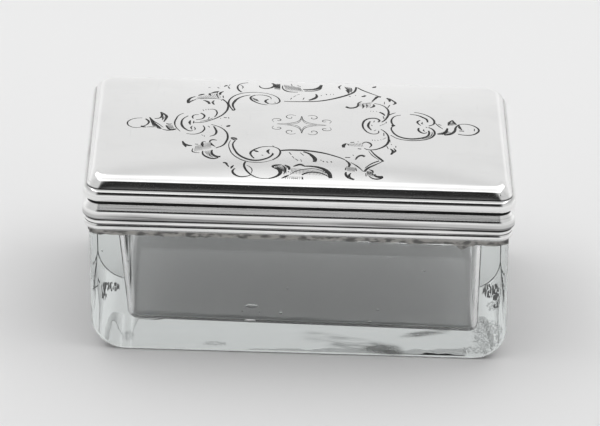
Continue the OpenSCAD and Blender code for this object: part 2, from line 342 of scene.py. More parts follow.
def moulding_silver(shader, tones):
    """The mouldings: drawn strip with lengthwise streaks, black oxide in its seams, painted shade at the
    parting gap, over the lower bead's top and on the lid bead's top, and greyer in streaks on its plain
    faces.
    """
    _, _, z = shader.axes()
    plan, collar = settings("plan"), settings("collar")
    drop = plan.part_z / MM - z                     # below the parting line
    streak = shader.noise(0.5, (0.02, 0.02, 1), 4)
    patch = shader.noise(6, (0.5, 0.5, 1), 3)
    groove = (plan.part_z - low("collar_upper_moulding").z + collar.groove / 2) / MM
    foot = (plan.part_z - low("collar_skirt").z) / MM
    plate_foot = (plan.part_z - settings("lid").foot_z) / MM
    # Black lines: oxide in the groove and at the skirt's foot, and painted shade along the parting gap and
    # over the top of the lower bead
    places = ((0.0, 0.16), (groove + 0.1, 0.65), (foot - 1.8, 0.22), (foot, 0.35))
    seams = sum(drop.near(centre, half) for centre, half in places)
    oxide_and_shade = (seams * (patch * 1.2 + 0.35)).smooth(0.25, 0.8)
    face = drop.near(groove - 0.6, 1.4) * (streak.smooth(0.35, 0.65) * 0.55 + 0.42)
    # Painted shade on the lid bead's top, under the plate's shoulder; at the same drop it also greys the
    # collar round its groove
    dull = drop.near(plate_foot, 0.75) * 0.55
    worn = streak.smooth(0.5, 0.7) * patch.smooth(0.35, 0.65) * 0.3
    grey = (face + dull + worn).math("MINIMUM", 0.85)
    shader.surface(
        Base_Color=shader.mix(oxide_and_shade * 0.95, shader.mix(grey, tones.silver, tones.tarnish), tones.oxide),
        Metallic=1.0,
        Roughness=streak * 0.12 + oxide_and_shade * 0.25 + 0.07,
        Normal=shader.bump(streak, 0.25, 0.02 * MM))


def dull_silver(shader, tones):
    """Silver that no cloth reaches: inside the lid, round the opening and under the mouldings."""
    cloud = shader.noise(7, detail=5)
    shader.surface(
        Base_Color=shader.mix(cloud.smooth(0.3, 0.7) * 0.16 + 0.34, tones.silver, tones.tarnish),
        Metallic=1.0,
        Roughness=cloud * 0.25 + 0.25,
        Normal=shader.bump(cloud, 0.3, 0.02 * MM))


def gap_silver(shader, tones):
    """The lid's wall: dull, and painted black at its foot as shade, where it shows in the gap."""
    _, _, z = shader.axes()
    cloud = shader.noise(1.2, (0.3, 0.3, 1), 3)
    part_z = settings("plan").part_z / MM
    # Painted shade: black up to 1 mm over the parting line, silver from 1.5 mm up
    out_of_shade = z.smooth(part_z + 1.0, part_z + 1.5) * 0.75 + cloud.smooth(0.6, 0.9) * 0.08
    shader.surface(
        Base_Color=shader.mix(out_of_shade, tones.oxide, tones.silver),
        Metallic=0.9,
        Roughness=cloud * 0.2 + 0.4)


def hinge_silver(shader, tones):
    """The hinge: filed tube and strip, a little tarnished in clouds."""
    file_marks = shader.noise(0.25, (1, 0.1, 0.1), 3)
    cloud = shader.noise(2.0, detail=3)
    shader.surface(
        Base_Color=shader.mix(cloud.smooth(0.4, 0.7) * 0.14 + file_marks * 0.2, tones.silver, tones.tarnish),
        Metallic=1.0,
        Roughness=file_marks * 0.2 + 0.14,
        Normal=shader.bump(file_marks, 0.35, 0.02 * MM))


def cut_silver(shader, tones):
    """Engraved cuts: black oxide, rubbed bright in places."""
    fleck = shader.noise(0.7, detail=3)
    shader.surface(
        Base_Color=shader.mix(fleck.smooth(0.58, 0.8) * 0.3, tones.oxide, tones.silver),
        Metallic=0.9,
        Roughness=fleck * 0.2 + 0.35)


# Marks on the front of the glass, in millimetres: (x, height, half width, half height)
STREAKY_SMUDGES = (
    (-43.0, 16.4, 2.6, 1.5), (-44.6, 15.2, 0.8, 3.0), (45.2, 18.3, 2.6, 2.4), (46.6, 15.6, 1.0, 2.4))
SPECKLED_PATCHES = (
    (45.0, 6.6, 4.4, 5.0), (45.6, 14.2, 1.6, 1.6), (-38.9, 3.6, 1.8, 1.6), (-18.6, 2.2, 3.6, 0.7),
    (42.2, 2.4, 4.0, 1.2))
# Streaks across the base: (rise per mm of x, height at x = 0, half height, x where they fade in and out)
BASE_STREAKS = ((-0.15, 5.2, 2.8, (-2, 6), (28, 23)), (0.18, 1.0, 1.4, (22, 28), (38, 34)))
# The two arms of the crack: (x at height 0, run per mm of height, half width, middle height)
CRACK = ((-40.33, -0.31, 0.22, 17.8), (-64.7, 1.12, 0.3, 16.2))
CRACK_HALF_HEIGHT = 0.95
FRONT_Y = (-27.9, -28.2)        # the marks fade in between these, so that only the front face has them
GLASS_DENSITY = 30.0            # absorption per metre of glass


def clear_glass(shader, tones):
    """Thick glass with faint upright waves from its mould, old streaks of dirt and a crack at the left."""
    x, y, z = shader.axes()
    wave = shader.noise(7, (1, 1, 0.25), 1)
    ripple = shader.noise(1.6, (1, 1, 0.4), 1)
    drips = shader.noise(0.32, (1, 1, 0.2), 3).smooth(0.42, 0.56)
    specks = shader.noise(0.5, detail=3).smooth(0.44, 0.60)
    drawn = shader.noise(1.0, (0.11, 1, 1), 6, turn=(0, math.radians(-8), 0)).smooth(0.32, 0.60)

    def marks(places, grain):
        """Grainy where the places are, and thinner towards their edges."""
        masks = sum(x.near(cx, half_x) * z.near(cz, half_z) for cx, cz, half_x, half_z in places)
        return (masks.smooth(0.0, 0.3) + grain - 1).smooth(0.0, 0.35)

    streaks = sum((z - x * rise - height).near(0, half) * x.smooth(*fade_in) * x.smooth(*fade_out)
                  for rise, height, half, fade_in, fade_out in BASE_STREAKS)
    crack = sum((x - z * run - foot).near(0, half) * z.near(middle, CRACK_HALF_HEIGHT)
                for foot, run, half, middle in CRACK)
    dirt = marks(STREAKY_SMUDGES, drips) + marks(SPECKLED_PATCHES, specks) * 0.6
    dirt = dirt + streaks.smooth(0.1, 0.9) * drawn * 0.85 + crack.smooth(0.05, 0.4)
    dirt = dirt.math("MINIMUM", 1) * y.smooth(*FRONT_Y)
    depth = shader.node("ShaderNodeVolumeAbsorption", None, {"Color": tones.depth, "Density": GLASS_DENSITY})
    shader.surface(
        depth,
        Base_Color=shader.mix(dirt, tones.glass, tones.oxide),
        IOR=1.5,
        Transmission_Weight=1.0,
        Roughness=dirt * 0.35,
        Normal=shader.bump(wave + ripple * 0.04, 0.3, 0.10 * MM))


def old_plaster(shader, tones):
    """Plaster: grey, pitted and dirty."""
    grain = shader.noise(0.35, detail=5)
    dirt = shader.noise(2.2, (1, 1, 2), 4)
    shader.surface(
        Base_Color=shader.mix(dirt.smooth(0.4, 0.62), tones.plaster, tones.grime),
        Roughness=grain * 0.2 + 0.75,
        Normal=shader.bump(grain, 0.9, 0.08 * MM))


def paper_floor(shader, tones):
    """A seamless sheet of pale paper, with painted light and shade: darker in front of the box and lighter
    towards the back.
    """
    studio = settings("studio")
    _, y, _ = shader.axes()
    shader.surface(
        Base_Color=shader.mix(y.smooth(-100, 160), studio.floor_near_shaded, studio.floor_far_lit),
        Roughness=0.9,
        Specular_IOR_Level=0.1)


FINISHES = {finish.__name__: finish for finish in (
    polished_silver, moulding_silver, dull_silver, gap_silver, hinge_silver, cut_silver, clear_glass,
    old_plaster, paper_floor)}


# ---- shared shapes ----

def arc(centre, radius, start, end, steps=ARC_STEPS):
    """Points on a circle in a section, from one angle to another, in degrees."""
    turns = [math.radians(start + (end - start) * k / steps) for k in range(steps + 1)]
    return [(centre[0] + radius * math.cos(t), centre[1] + radius * math.sin(t)) for t in turns]


def carried(bm, section, closed=True, side_steps=(1, 1)):
    """Carries a section round the box: a quarter turn at each corner and a straight run along each side."""
    plan = settings("plan")
    cx, cy = plan.half_len - plan.corner_r, plan.half_dep - plan.corner_r
    verts = [bm.verts.new((plan.half_len + out, cy, z)) for out, z in section]
    ring = verts + [bm.edges.new(pair) for pair in zip(verts, verts[1:])]
    if closed:
        ring.append(bm.edges.new((verts[-1], verts[0])))
    corners = ((cx, cy), (-cx, cy), (-cx, -cy), (cx, -cy))
    for k, (x, y) in enumerate(corners):
        next_x, next_y = corners[(k + 1) % 4]
        steps = side_steps[k % 2]
        run = ((next_x - x) / steps, (next_y - y) / steps, 0)
        corner = {"angle": math.pi / 2, "steps": CORNER_STEPS}
        for turn in (corner, {"angle": 0, "dvec": run, "steps": steps}):
            ring = bmesh.ops.spin(bm, geom=ring, cent=(x, y, 0), axis=(0, 0, 1), **turn)["geom_last"]
    bmesh.ops.remove_doubles(bm, verts=bm.verts, dist=MERGE)
    return bm


def parts_of(verts, kind):
    """The edges or faces at some points, each once and in the points' order."""
    return list(dict.fromkeys(part for v in verts for part in getattr(v, kind)))


def in_plane(part, axis, place):
    """Whether all points of an edge or face are at a place along an axis."""
    return all(abs(v.co[axis] - place) < MERGE for v in part.verts)


def lift(bm, raised, height):
    """Moves the points of an extrusion up."""
    verts = [v for v in raised if isinstance(v, bmesh.types.BMVert)]
    bmesh.ops.translate(bm, verts=verts, vec=(0, 0, height))


def bevel(bm, edges, radius, segments):
    """Rounds edges."""
    bmesh.ops.bevel(bm, geom=edges, offset=radius, segments=segments, profile=0.5,
                    affect="EDGES", clamp_overlap=True, material=-1)


def rounded_loop(bm, half_x, half_y, radius, z):
    """The edges of a flat rounded rectangle."""
    shape = Matrix.Translation((0, 0, z)) @ Matrix.Diagonal((half_x, half_y, 1, 1))
    verts = bmesh.ops.create_grid(bm, x_segments=1, y_segments=1, size=1, matrix=shape)["verts"]
    verts = bmesh.ops.bevel(bm, geom=verts, offset=radius, segments=CORNER_STEPS, profile=0.5,
                            affect="VERTICES", material=-1)["verts"]
    faces = parts_of(verts, "link_faces")
    edges = [e for f in faces for e in f.edges]
    bmesh.ops.delete(bm, geom=faces, context="FACES_ONLY")
    return edges


def flat_ring(outer, inner, z_lo, z_hi):
    """A flat ring between two rounded rectangles, each (half x, half y, radius): its face is raised."""
    bm = bmesh.new()
    close_ring(bm, rounded_loop(bm, *outer, z_lo) + rounded_loop(bm, *inner, z_lo))
    lift(bm, bmesh.ops.extrude_face_region(bm, geom=bm.faces[:])["geom"], z_hi - z_lo)
    return bm


def close_ring(bm, edges):
    """Fills the flat ring between two loops."""
    bmesh.ops.triangle_fill(bm, edges=edges, use_beauty=True)


def open_edges(bm):
    return [e for e in bm.edges if e.is_boundary]


def add_piece(name, bm, body, finish, replaced=(), weighted=True, closed=True):
    """Turns a bmesh into a piece that rides on a body and stands for its CAD nodes. The faces of a closed
    piece are turned outwards."""
    if closed:
        bmesh.ops.recalc_face_normals(bm, faces=bm.faces)
    mesh = bpy.data.meshes.new(name)
    bm.to_mesh(mesh)
    bm.free()
    mesh.shade_smooth()
    mesh.set_sharp_from_angle(angle=SHARP)
    mesh.materials.append(material(finish))
    piece = bpy.data.objects.new(name, mesh)
    bpy.context.scene.collection.objects.link(piece)
    if weighted:
        even = piece.modifiers.new("even_flats", "WEIGHTED_NORMAL")
        even.keep_sharp = True
    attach(piece, body)
    if replaced:
        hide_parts(*replaced)
    return piece


# ---- glass ----

def glass_shell(glass):
    """Outer skin and well, both leaning, joined at the rim."""
    bm = bmesh.new()
    add_block(bm, glass)
    add_well(bm, glass)
    depth = glass.rim_z - glass.floor
    inner_x, inner_y = well_half(glass)
    for v in bm.verts:
        if abs(v.co.x) < inner_x + MERGE and abs(v.co.y) < inner_y + MERGE and v.co.z > glass.floor - MERGE:
            share = (glass.rim_z - v.co.z) / depth
            v.co.z -= share * glass.floor_tilt * v.co.x / inner_x
            v.co.x += share * glass.well_lean
        else:
            v.co.x += (1 - v.co.z / glass.rim_z) * glass.lean
    close_ring(bm, open_edges(bm))
    bmesh.ops.recalc_face_normals(bm, faces=bm.faces)
    return bm


def well_half(glass):
    """Half the length and half the depth of the well at the rim."""
    return glass.half_len - glass.wall, glass.half_dep - glass.wall


def well_fall(glass):
    """How far the well's draft brings each wall in at its floor."""
    return (glass.rim_z - glass.floor) * math.tan(glass.draft)


def add_block(bm, glass):
    """The outer block, rounded under its ends and along its front and back, and open at the rim."""
    middle = Matrix.Translation((0, 0, glass.rim_z / 2))
    size = Matrix.Diagonal((2 * glass.half_len, 2 * glass.half_dep, glass.rim_z, 1))
    bmesh.ops.create_cube(bm, size=1, matrix=middle @ size)
    ends = [e for e in bm.edges if in_plane(e, 2, 0) and abs(e.verts[0].co.x - e.verts[1].co.x) < MERGE]
    bevel(bm, ends, glass.end_round, GLASS_STEPS[0])
    for face_y, radius in ((-glass.half_dep, glass.side_round), (glass.half_dep, glass.back_round)):
        border = [e for e in bm.edges if in_plane(e, 1, face_y) and not in_plane(e, 2, glass.rim_z)]
        bevel(bm, border, radius, GLASS_STEPS[1])
    bmesh.ops.delete(bm, geom=[f for f in bm.faces if in_plane(f, 2, glass.rim_z)], context="FACES_ONLY")
    bmesh.ops.delete(bm, geom=[e for e in bm.edges if e.is_wire], context="EDGES")


def add_well(bm, glass):
    """The well: drafted walls, rounded into each other and into the floor, and open at the rim."""
    inner_x, inner_y = well_half(glass)
    depth, fall = glass.rim_z - glass.floor, well_fall(glass)
    pit = Matrix.Translation((0, 0, glass.floor + depth / 2))
    size = Matrix.Diagonal((2 * inner_x, 2 * inner_y, depth, 1))
    well = bmesh.ops.create_cube(bm, size=1, matrix=pit @ size)["verts"]
    for v in well:
        if v.co.z < glass.floor + MERGE:
            v.co.x -= math.copysign(fall, v.co.x)
            v.co.y -= math.copysign(fall, v.co.y)
    top = [f for f in parts_of(well, "link_faces") if in_plane(f, 2, glass.rim_z)]
    bmesh.ops.delete(bm, geom=top, context="FACES_ONLY")
    upright = [e for e in parts_of(well, "link_edges") if abs(e.verts[0].co.z - e.verts[1].co.z) > depth / 2]
    bevel(bm, upright, glass.well_corner_r, GLASS_STEPS[1])
    bottom = [e for e in bm.edges if in_plane(e, 2, glass.floor) and len(e.link_faces) == 2
              and any(max(v.co.z for v in f.verts) > glass.rim_z - MERGE for f in e.link_faces)
              and all(abs(v.co.x) < inner_x and abs(v.co.y) < inner_y for v in e.verts)]
    bevel(bm, bottom, glass.well_round, GLASS_STEPS[1])


# Bubbles in the glass, in millimetres: (x, y, z, half width, half height)
BUBBLES = (
    (-10.3, -26.2, 11.7, 1.5, 0.50), (-10.5, -26.0, 7.7, 1.4, 0.50), (-3.4, -25.8, 9.9, 0.40, 0.34),
    (-2.0, -26.4, 16.6, 0.32, 0.24), (17.3, -26.3, 8.4, 0.55, 0.22), (19.2, -25.7, 11.4, 0.32, 0.26),
    (-12.4, -26.2, 10.2, 0.18, 0.16), (-8.4, -26.0, 10.0, 0.16, 0.18), (29.6, -26.1, 22.2, 0.34, 0.22),
    (-39.2, -26.0, 22.4, 0.24, 0.22), (33.0, 20.0, 13.0, 0.25, 0.3), (-22.0, 25.6, 17.0, 0.3, 0.35),
    (8.0, 25.8, 24.0, 0.24, 0.3), (-46.0, 8.0, 14.0, 0.26, 0.3),
)
BUBBLE_DEPTH = 0.7              # depth of a bubble from front to back, as a share of its height


def add_bubbles(bm):
    """Bubbles inside the walls, as voids: their faces point into the bubble."""
    for x, y, z, half_width, half_height in BUBBLES:
        shape = Matrix.Translation((x * MM, y * MM, z * MM)) @ Matrix.Diagonal(
            (half_width * MM, BUBBLE_DEPTH * half_height * MM, half_height * MM, 1))
        made = bmesh.ops.create_icosphere(bm, subdivisions=3, radius=1, matrix=shape)["verts"]
        faces = parts_of(made, "link_faces")
        bmesh.ops.recalc_face_normals(bm, faces=faces)
        bmesh.ops.reverse_faces(bm, faces=faces)


class GLASSBOX_OT_glass(bpy.types.Operator):
    """Make the glass body with its well and bubbles"""
    bl_idname = "glassbox.glass"
    bl_label = "Glass Body"

    def execute(self, context):
        bm = glass_shell(settings("glass"))
        add_bubbles(bm)
        add_piece("glass", bm, "base", "clear_glass", ["glass_body"], closed=False)
        return {"FINISHED"}


# A lump of plaster that hangs down the front, in millimetres: (x, half width, drop)
LUMP = (38.0, 1.3, 1.1)


class GLASSBOX_OT_plaster(bpy.types.Operator):
    """Make the plaster that beds the collar, with its uneven lower edge"""
    bl_idname = "glassbox.plaster"
    bl_label = "Plaster Bed"

    def execute(self, context):
        plan, collar, glass = settings("plan"), settings("collar"), settings("glass")
        out = high("plaster_bed").x - plan.half_len
        glass_out = glass.half_len - plan.half_len
        edge_z = low("plaster_bed").z - collar.plaster_drop
        smear = glass_out + collar.smear_t
        corner_z = low("collar_skirt").z - 0.1 * MM  # plaster fills the corner under the skirt
        section = [(glass_out, glass.rim_z), (glass_out, edge_z), (smear, edge_z), (out, corner_z),
                   (out, collar.ledge_z)]
        bm = carried(bmesh.new(), section, False, PLASTER_SIDES)
        inner = rounded_loop(bm, *well_half(glass), glass.well_corner_r + well_fall(glass), glass.rim_z)
        lift(bm, bmesh.ops.extrude_edge_only(bm, edges=inner)["geom"], collar.ledge_z - glass.rim_z)
        for z in (glass.rim_z, collar.ledge_z):
            close_ring(bm, [e for e in open_edges(bm) if in_plane(e, 2, z)])
        for v in bm.verts:
            if v.co.z < edge_z + MERGE:
                v.co.z += self.wander(v.co, collar.plaster_wander)
        add_piece("plaster", bm, "base", "old_plaster", ["plaster_bed"], weighted=False)
        return {"FINISHED"}

    def wander(self, place, size):
        """How far the lower edge strays from its line: an uneven run, and the lump at the front."""
        x, half_width, drop = LUMP
        lump = drop * MM * math.exp(-((place.x / MM - x) / half_width) ** 2) if place.y < 0 else 0
        waves = noise.fractal(place / (2.2 * MM), 1.0, 2.0, 3)      # about 2.2 mm long, in three octaves
        return waves * size - lump


# ---- collar ----

class GLASSBOX_OT_collar(bpy.types.Operator):
    """Make the collar: skirt, ledge, bezel and the two mouldings"""
    bl_idname = "glassbox.collar"
    bl_label = "Silver Collar"

    def execute(self, context):
        plan, collar = settings("plan"), settings("collar")
        skirt_out = high("collar_skirt").x - plan.half_len
        foot = low("collar_skirt").z
        self.add("collar_skirt", strip(skirt_out, collar.skirt_t, foot, collar.ledge_z),
                 "dull_silver", "silver_sheet")
        bezel_out = high("collar_bezel").x - plan.half_len
        self.add("collar_bezel", strip(bezel_out, collar.bezel_t, plan.part_z, high("collar_bezel").z),
                 "dull_silver", "silver_sheet")
        self.add("collar_upper_moulding", self.upper_section(plan, collar, skirt_out),
                 "moulding_silver", "silver_moulding")
        self.add("collar_lower_moulding", self.lower_section(plan, collar, skirt_out, foot),
                 "moulding_silver", "silver_moulding")
        self.add_ledge(plan, collar)
        return {"FINISHED"}

    def add(self, node, section, finish, slot):
        bm = carried(bmesh.new(), section)
        add_piece(node.replace("collar", "mount"), bm, "base", finish, [node])

    def upper_section(self, plan, collar, skirt_out):
        """A slope, a bead and a plain flat over a small lip."""
        head_out = high("collar_ledge").x - plan.half_len
        lip = (-collar.lip_r, low("collar_upper_moulding").z + collar.lip_r)
        bead = (-collar.upper_r, plan.part_z - collar.upper_drop)
        rise = arc(bead, collar.upper_r, 0, math.degrees(collar.slope))
        run = (plan.part_z - rise[-1][1]) * math.tan(collar.slope)
        return [(head_out, plan.part_z), (head_out, collar.ledge_z), (skirt_out, collar.ledge_z),
                (skirt_out, lip[1] - collar.lip_r), *arc(lip, collar.lip_r, -90, 0), *rise,
                (rise[-1][0] - run, plan.part_z)]

    def lower_section(self, plan, collar, skirt_out, foot):
        """A bead at the skirt's foot and a plain band over it, up to the groove."""
        centre = (high("collar_lower_moulding").x - plan.half_len - collar.lower_r, foot + collar.lower_r)
        band_out, soft = skirt_out + collar.band_t, 0.06 * MM
        top = low("collar_upper_moulding").z - collar.groove
        reach = math.degrees(math.acos((skirt_out - centre[0]) / collar.lower_r))
        joint = math.degrees(math.acos((band_out - centre[0]) / collar.lower_r))
        return [*arc(centre, collar.lower_r, -reach, joint, 2 * ARC_STEPS), (band_out, top - soft),
                (band_out - soft, top), (skirt_out, top)]

    def add_ledge(self, plan, collar):
        """The flat ledge over the ground rim."""
        outer, glass = high("collar_ledge"), settings("glass")
        outer_r = plan.corner_r - (plan.half_len - outer.x)
        inner_x, inner_y = [half + collar.ledge_back for half in well_half(glass)]
        inner_r = glass.well_corner_r + well_fall(glass)
        bm = flat_ring((outer.x, outer.y, outer_r), (inner_x, inner_y, inner_r), collar.ledge_z, outer.z)
        add_piece("mount_ledge", bm, "base", "dull_silver", ["collar_ledge"])


def strip(out, thickness, z_lo, z_hi):
    """Section of an upright strip with softened edges."""
    back = out - thickness
    return [(out, z_lo + SOFT), (out, z_hi - SOFT), (out - SOFT, z_hi), (back + SOFT, z_hi),
            (back, z_hi - SOFT), (back, z_lo + SOFT), (back + SOFT, z_lo), (out - SOFT, z_lo)]


# ---- lid ----

def shoulder(lid):
    """Outer section of the shoulder from its foot to the dome: (inset, height, angle of the normal)."""
    points = [(lid.foot_in, lid.foot_z, lid.steep_lo)]
    for radius, start, end, steps in ((lid.shoulder_r, lid.steep_lo, lid.steep_hi, SHOULDER_STEPS[0]),
                                      (lid.turn_r, lid.steep_hi, lid.turn_hi, SHOULDER_STEPS[1])):
        inset, z, _ = points[-1]
        for k in range(1, steps + 1):
            turn = start + (end - start) * k / steps
            points.append((inset + radius * (math.cos(start) - math.cos(turn)),
                           z + radius * (math.sin(turn) - math.sin(start)), turn))
    return points


def dome_height(x, y):
    """Height of the dome over the front edge of the shoulder: an arch across the box, lower at its ends."""
    plan, lid = settings("plan"), settings("lid")
    edge = shoulder(lid)[-1][0]
    along = min(abs(x) / (plan.half_len - edge), 1)
    across = min(abs(y) / (plan.half_dep - edge), 1)
    return (lid.dome_rise - (lid.dome_rise - lid.end_rise) * along ** 2) * (1 - across ** 2)


def soften_corner(v, inset, extra):
    """Moves a point of an outline onto a corner whose radius is larger by extra."""
    plan = settings("plan")
    cx, cy = plan.half_len - plan.corner_r, plan.half_dep - plan.corner_r
    x, y, turn = abs(v.co.x), abs(v.co.y), math.pi / 4
    sharp = plan.corner_r - inset
    soft = sharp + extra
    # The run along the outline from the middle of the corner is spread over the longer, softer corner
    if x > cx and y > cy:
        run = (math.atan2(y - cy, x - cx) - turn) * sharp
    else:
        run = turn * sharp + cx - x if y > cy else -turn * sharp + y - cy
    share = run / (turn * sharp + extra)
    if abs(share) < 1:
        at = turn * (1 + share)
        v.co.x = math.copysign(plan.half_len - inset - soft + soft * math.cos(at), v.co.x)
        v.co.y = math.copysign(plan.half_dep - inset - soft + soft * math.sin(at), v.co.y)


def lid_sheet(section):
    """One skin of the lid: the shoulder carried round, then a grid, each raised by its share of the dome."""
    plan, lid = settings("plan"), settings("lid")
    foot_z, edge_z = section[0][1], section[-1][1]
    bm = bmesh.new()
    carried(bm, section + [(-plan.corner_r, edge_z)], False, LID_SIDES)
    inner_x, inner_y = plan.half_len - plan.corner_r + MERGE, plan.half_dep - plan.corner_r + MERGE
    for v in bm.verts:
        if abs(v.co.x) > inner_x or abs(v.co.y) > inner_y:
            out, z = min(section, key=lambda point: abs(point[1] - v.co.z))     # the point it came from
            soften_corner(v, -out, lid.corner_soft * (z - foot_z) / (edge_z - foot_z))
    shape = Matrix.Translation((0, 0, edge_z)) @ Matrix.Diagonal(
        (plan.half_len - plan.corner_r, plan.half_dep - plan.corner_r, 1, 1))
    bmesh.ops.create_grid(bm, x_segments=LID_SIDES[0], y_segments=LID_SIDES[1], size=1, matrix=shape)
    bmesh.ops.remove_doubles(bm, verts=bm.verts, dist=MERGE)
    bmesh.ops.dissolve_degenerate(bm, dist=MERGE, edges=bm.edges)
    for v in bm.verts:
        v.co.z += (v.co.z - foot_z) / (edge_z - foot_z) * dome_height(v.co.x, v.co.y)
    return bm


class GLASSBOX_OT_lid(bpy.types.Operator):
    """Make the lid: domed plate, wall and half-round moulding"""
    bl_idname = "glassbox.lid"
    bl_label = "Silver Lid"

    def execute(self, context):
        plan, lid = settings("plan"), settings("lid")
        self.add_plate(lid)
        wall_out = high("lid_wall").x - plan.half_len
        wall = strip(wall_out, lid.wall_t, plan.part_z, lid.foot_z)
        add_piece("lid_skirt", carried(bmesh.new(), wall), "lid", "gap_silver",
                  ["lid_wall"])
        self.add_moulding(lid)
        return {"FINISHED"}

    def add_plate(self, lid):
        """The domed plate: an upper skin, a dull underside and the foot that joins them."""
        points = shoulder(lid)
        outer = [(-inset, z) for inset, z, _ in points]
        foot_in = lid.foot_in + lid.plate_t / math.cos(lid.steep_lo)
        inner = [(-foot_in, lid.foot_z)] + [
            (-inset - lid.plate_t * math.cos(turn), z - lid.plate_t * math.sin(turn))
            for inset, z, turn in points[1:]]
        bm = lid_sheet(outer)
        under = lid_sheet(inner)
        mesh = bpy.data.meshes.new("lid_underside")
        under.to_mesh(mesh)
        under.free()
        top_faces = len(bm.faces)
        bm.from_mesh(mesh)
        bpy.data.meshes.remove(mesh)
        bm.faces.ensure_lookup_table()
        for face in bm.faces[top_faces:]:
            face.material_index = 1
        close_ring(bm, open_edges(bm))
        shell = add_piece("lid_shell", bm, "lid", "polished_silver", ["lid_plate"],
                          weighted=False)
        shell.data.materials.append(material("dull_silver"))

    def add_moulding(self, lid):
        """Half-round strip, filed flat behind for the hinge leaf."""
        middle = lid.foot_z - lid.bead_half
        section = [(out, middle + (z - middle) * lid.bead_half / lid.bead_r)
                   for out, z in arc((-lid.bead_r, middle), lid.bead_r, -90, 90, BEAD_STEPS)]
        bm = carried(bmesh.new(), section, side_steps=BEAD_SIDES)
        flat_y, leaf_x = low("lid_hinge_leaf").y, high("lid_hinge_leaf").x
        for v in bm.verts:
            if v.co.y > flat_y and abs(v.co.x) < leaf_x + MERGE:
                v.co.y = flat_y
        add_piece("lid_bead", bm, "lid", "moulding_silver", ["lid_moulding"])


# ---- engraving ----

# Engraved cuts, in millimetres on the lid seen from above: (width, place along the cut where it is widest,
# points). Each group is one motif
LEFT_FINIAL = (
    (0.25, 0.5, (-37.3, 2.6), (-39.0, 2.2), (-40.2, 1.2), (-40.7, -0.3), (-40.1, -2.0), (-38.6, -2.8),
     (-37.1, -2.3)), (0.40, 0.3, (-36.5, 2.1), (-35.8, 1.0), (-35.7, 0.0), (-36.2, -1.2), (-37.2, -2.1)),
    (0.60, 0.5, (-37.4, -1.7), (-37.1, -2.1), (-36.3, -2.4)),
    (0.22, 0.5, (-36.2, -2.4), (-35.2, -2.2), (-34.4, -2.4)),
    (0.25, 0.3, (-35.6, 3.0), (-34.6, 1.0), (-33.3, -0.7), (-32.2, -2.4)),
    (0.45, 0.3, (-33.0, 6.0), (-32.7, 4.6), (-32.8, 3.4), (-33.3, 2.6), (-34.4, 2.3)),
    (0.50, 0.5, (-33.0, 6.0), (-32.2, 5.0), (-31.6, 3.6), (-31.8, 2.0), (-32.2, 0.6)),
    (0.35, 0.5, (-31.6, -0.2), (-31.0, -0.6), (-30.2, -0.4)),
    (0.50, 0.7, (-31.6, -1.3), (-31.2, -2.4), (-30.3, -3.6), (-29.2, -3.1)),
    (0.30, 0.5, (-32.4, -3.4), (-31.2, -3.9), (-30.0, -3.8)),
    (0.45, 0.6, (-33.7, -1.8), (-33.3, -2.8), (-32.6, -3.1)),
)
LEFT_SCROLLS = (
    (0.30, 0.5, (-27.6, 5.6), (-28.6, 4.6), (-29.3, 2.4), (-29.6, 0.2), (-29.2, -2.2), (-28.2, -4.3)),
    (0.30, 0.6, (-26.7, -5.4), (-25.1, -5.7), (-23.6, -5.0), (-22.7, -3.6), (-22.5, -2.3), (-22.9, -1.0)),
    (0.42, 0.5, (-26.5, 4.2), (-27.6, 2.6), (-28.0, 0.6), (-27.8, -1.3), (-27.0, -3.0), (-25.8, -4.0),
     (-25.2, -3.8)), (0.38, 0.2, (-23.6, 5.9), (-22.8, 4.9), (-22.7, 3.8), (-23.3, 2.6), (-24.6, 2.1)),
    (0.30, 0.6, (-24.0, 5.0), (-25.1, 4.7), (-25.5, 3.7), (-25.3, 2.7)),
    (0.45, 0.5, (-25.9, 1.7), (-26.1, 0.6), (-25.9, -0.7)), (0.50, 0.5, (-25.1, 1.4), (-25.2, 0.1)),
    (0.28, 0.5, (-25.4, -1.3), (-25.7, -2.2), (-25.4, -3.3)),
    (0.22, 0.5, (-25.0, -1.8), (-24.7, -2.6), (-24.8, -3.6)),
    (0.36, 0.7, (-25.0, 0.5), (-23.2, 0.7), (-21.2, 2.0), (-19.4, 3.8), (-17.9, 6.3), (-17.2, 9.3),
     (-17.4, 12.0), (-18.6, 14.5)),
    (0.38, 0.6, (-21.0, -0.3), (-19.0, -1.6), (-17.6, -3.6), (-17.0, -6.2), (-17.3, -9.0),
     (-18.2, -11.2), (-19.7, -12.4)), (0.20, 0.5, (-23.6, 1.2), (-21.8, 2.2), (-20.6, 3.3)),
    (0.30, 0.6, (-21.6, 8.2), (-20.4, 8.1), (-19.8, 6.9), (-19.8, 5.4), (-20.3, 3.8)),
    (0.42, 0.4, (-20.4, -1.3), (-19.9, -2.9), (-19.7, -4.4), (-20.1, -5.8), (-21.2, -6.6)),
    (0.40, 0.5, (-21.5, 3.7), (-21.8, 2.8)), (0.40, 0.5, (-21.7, -1.2), (-21.3, -1.9)),
    (0.30, 0.5, (-23.1, 7.9), (-22.9, 7.2)), (0.30, 0.5, (-22.5, 8.2), (-22.3, 7.7)),
    (0.28, 0.5, (-21.9, 8.4), (-21.8, 7.9)), (0.30, 0.5, (-23.1, -5.8), (-22.9, -6.3)),
    (0.30, 0.5, (-22.6, -6.2), (-22.4, -6.8)), (0.60, 0.5, (-18.1, 3.7), (-17.4, 3.5)),
    (0.40, 0.5, (-17.0, 3.8), (-16.9, 3.2)), (0.25, 0.5, (-18.9, 3.3), (-18.8, 2.9)),
    (0.65, 0.4, (-17.4, -1.3), (-16.9, -0.9), (-16.6, -0.5)), (0.25, 0.5, (-18.7, -0.8), (-18.4, -1.0)),
)
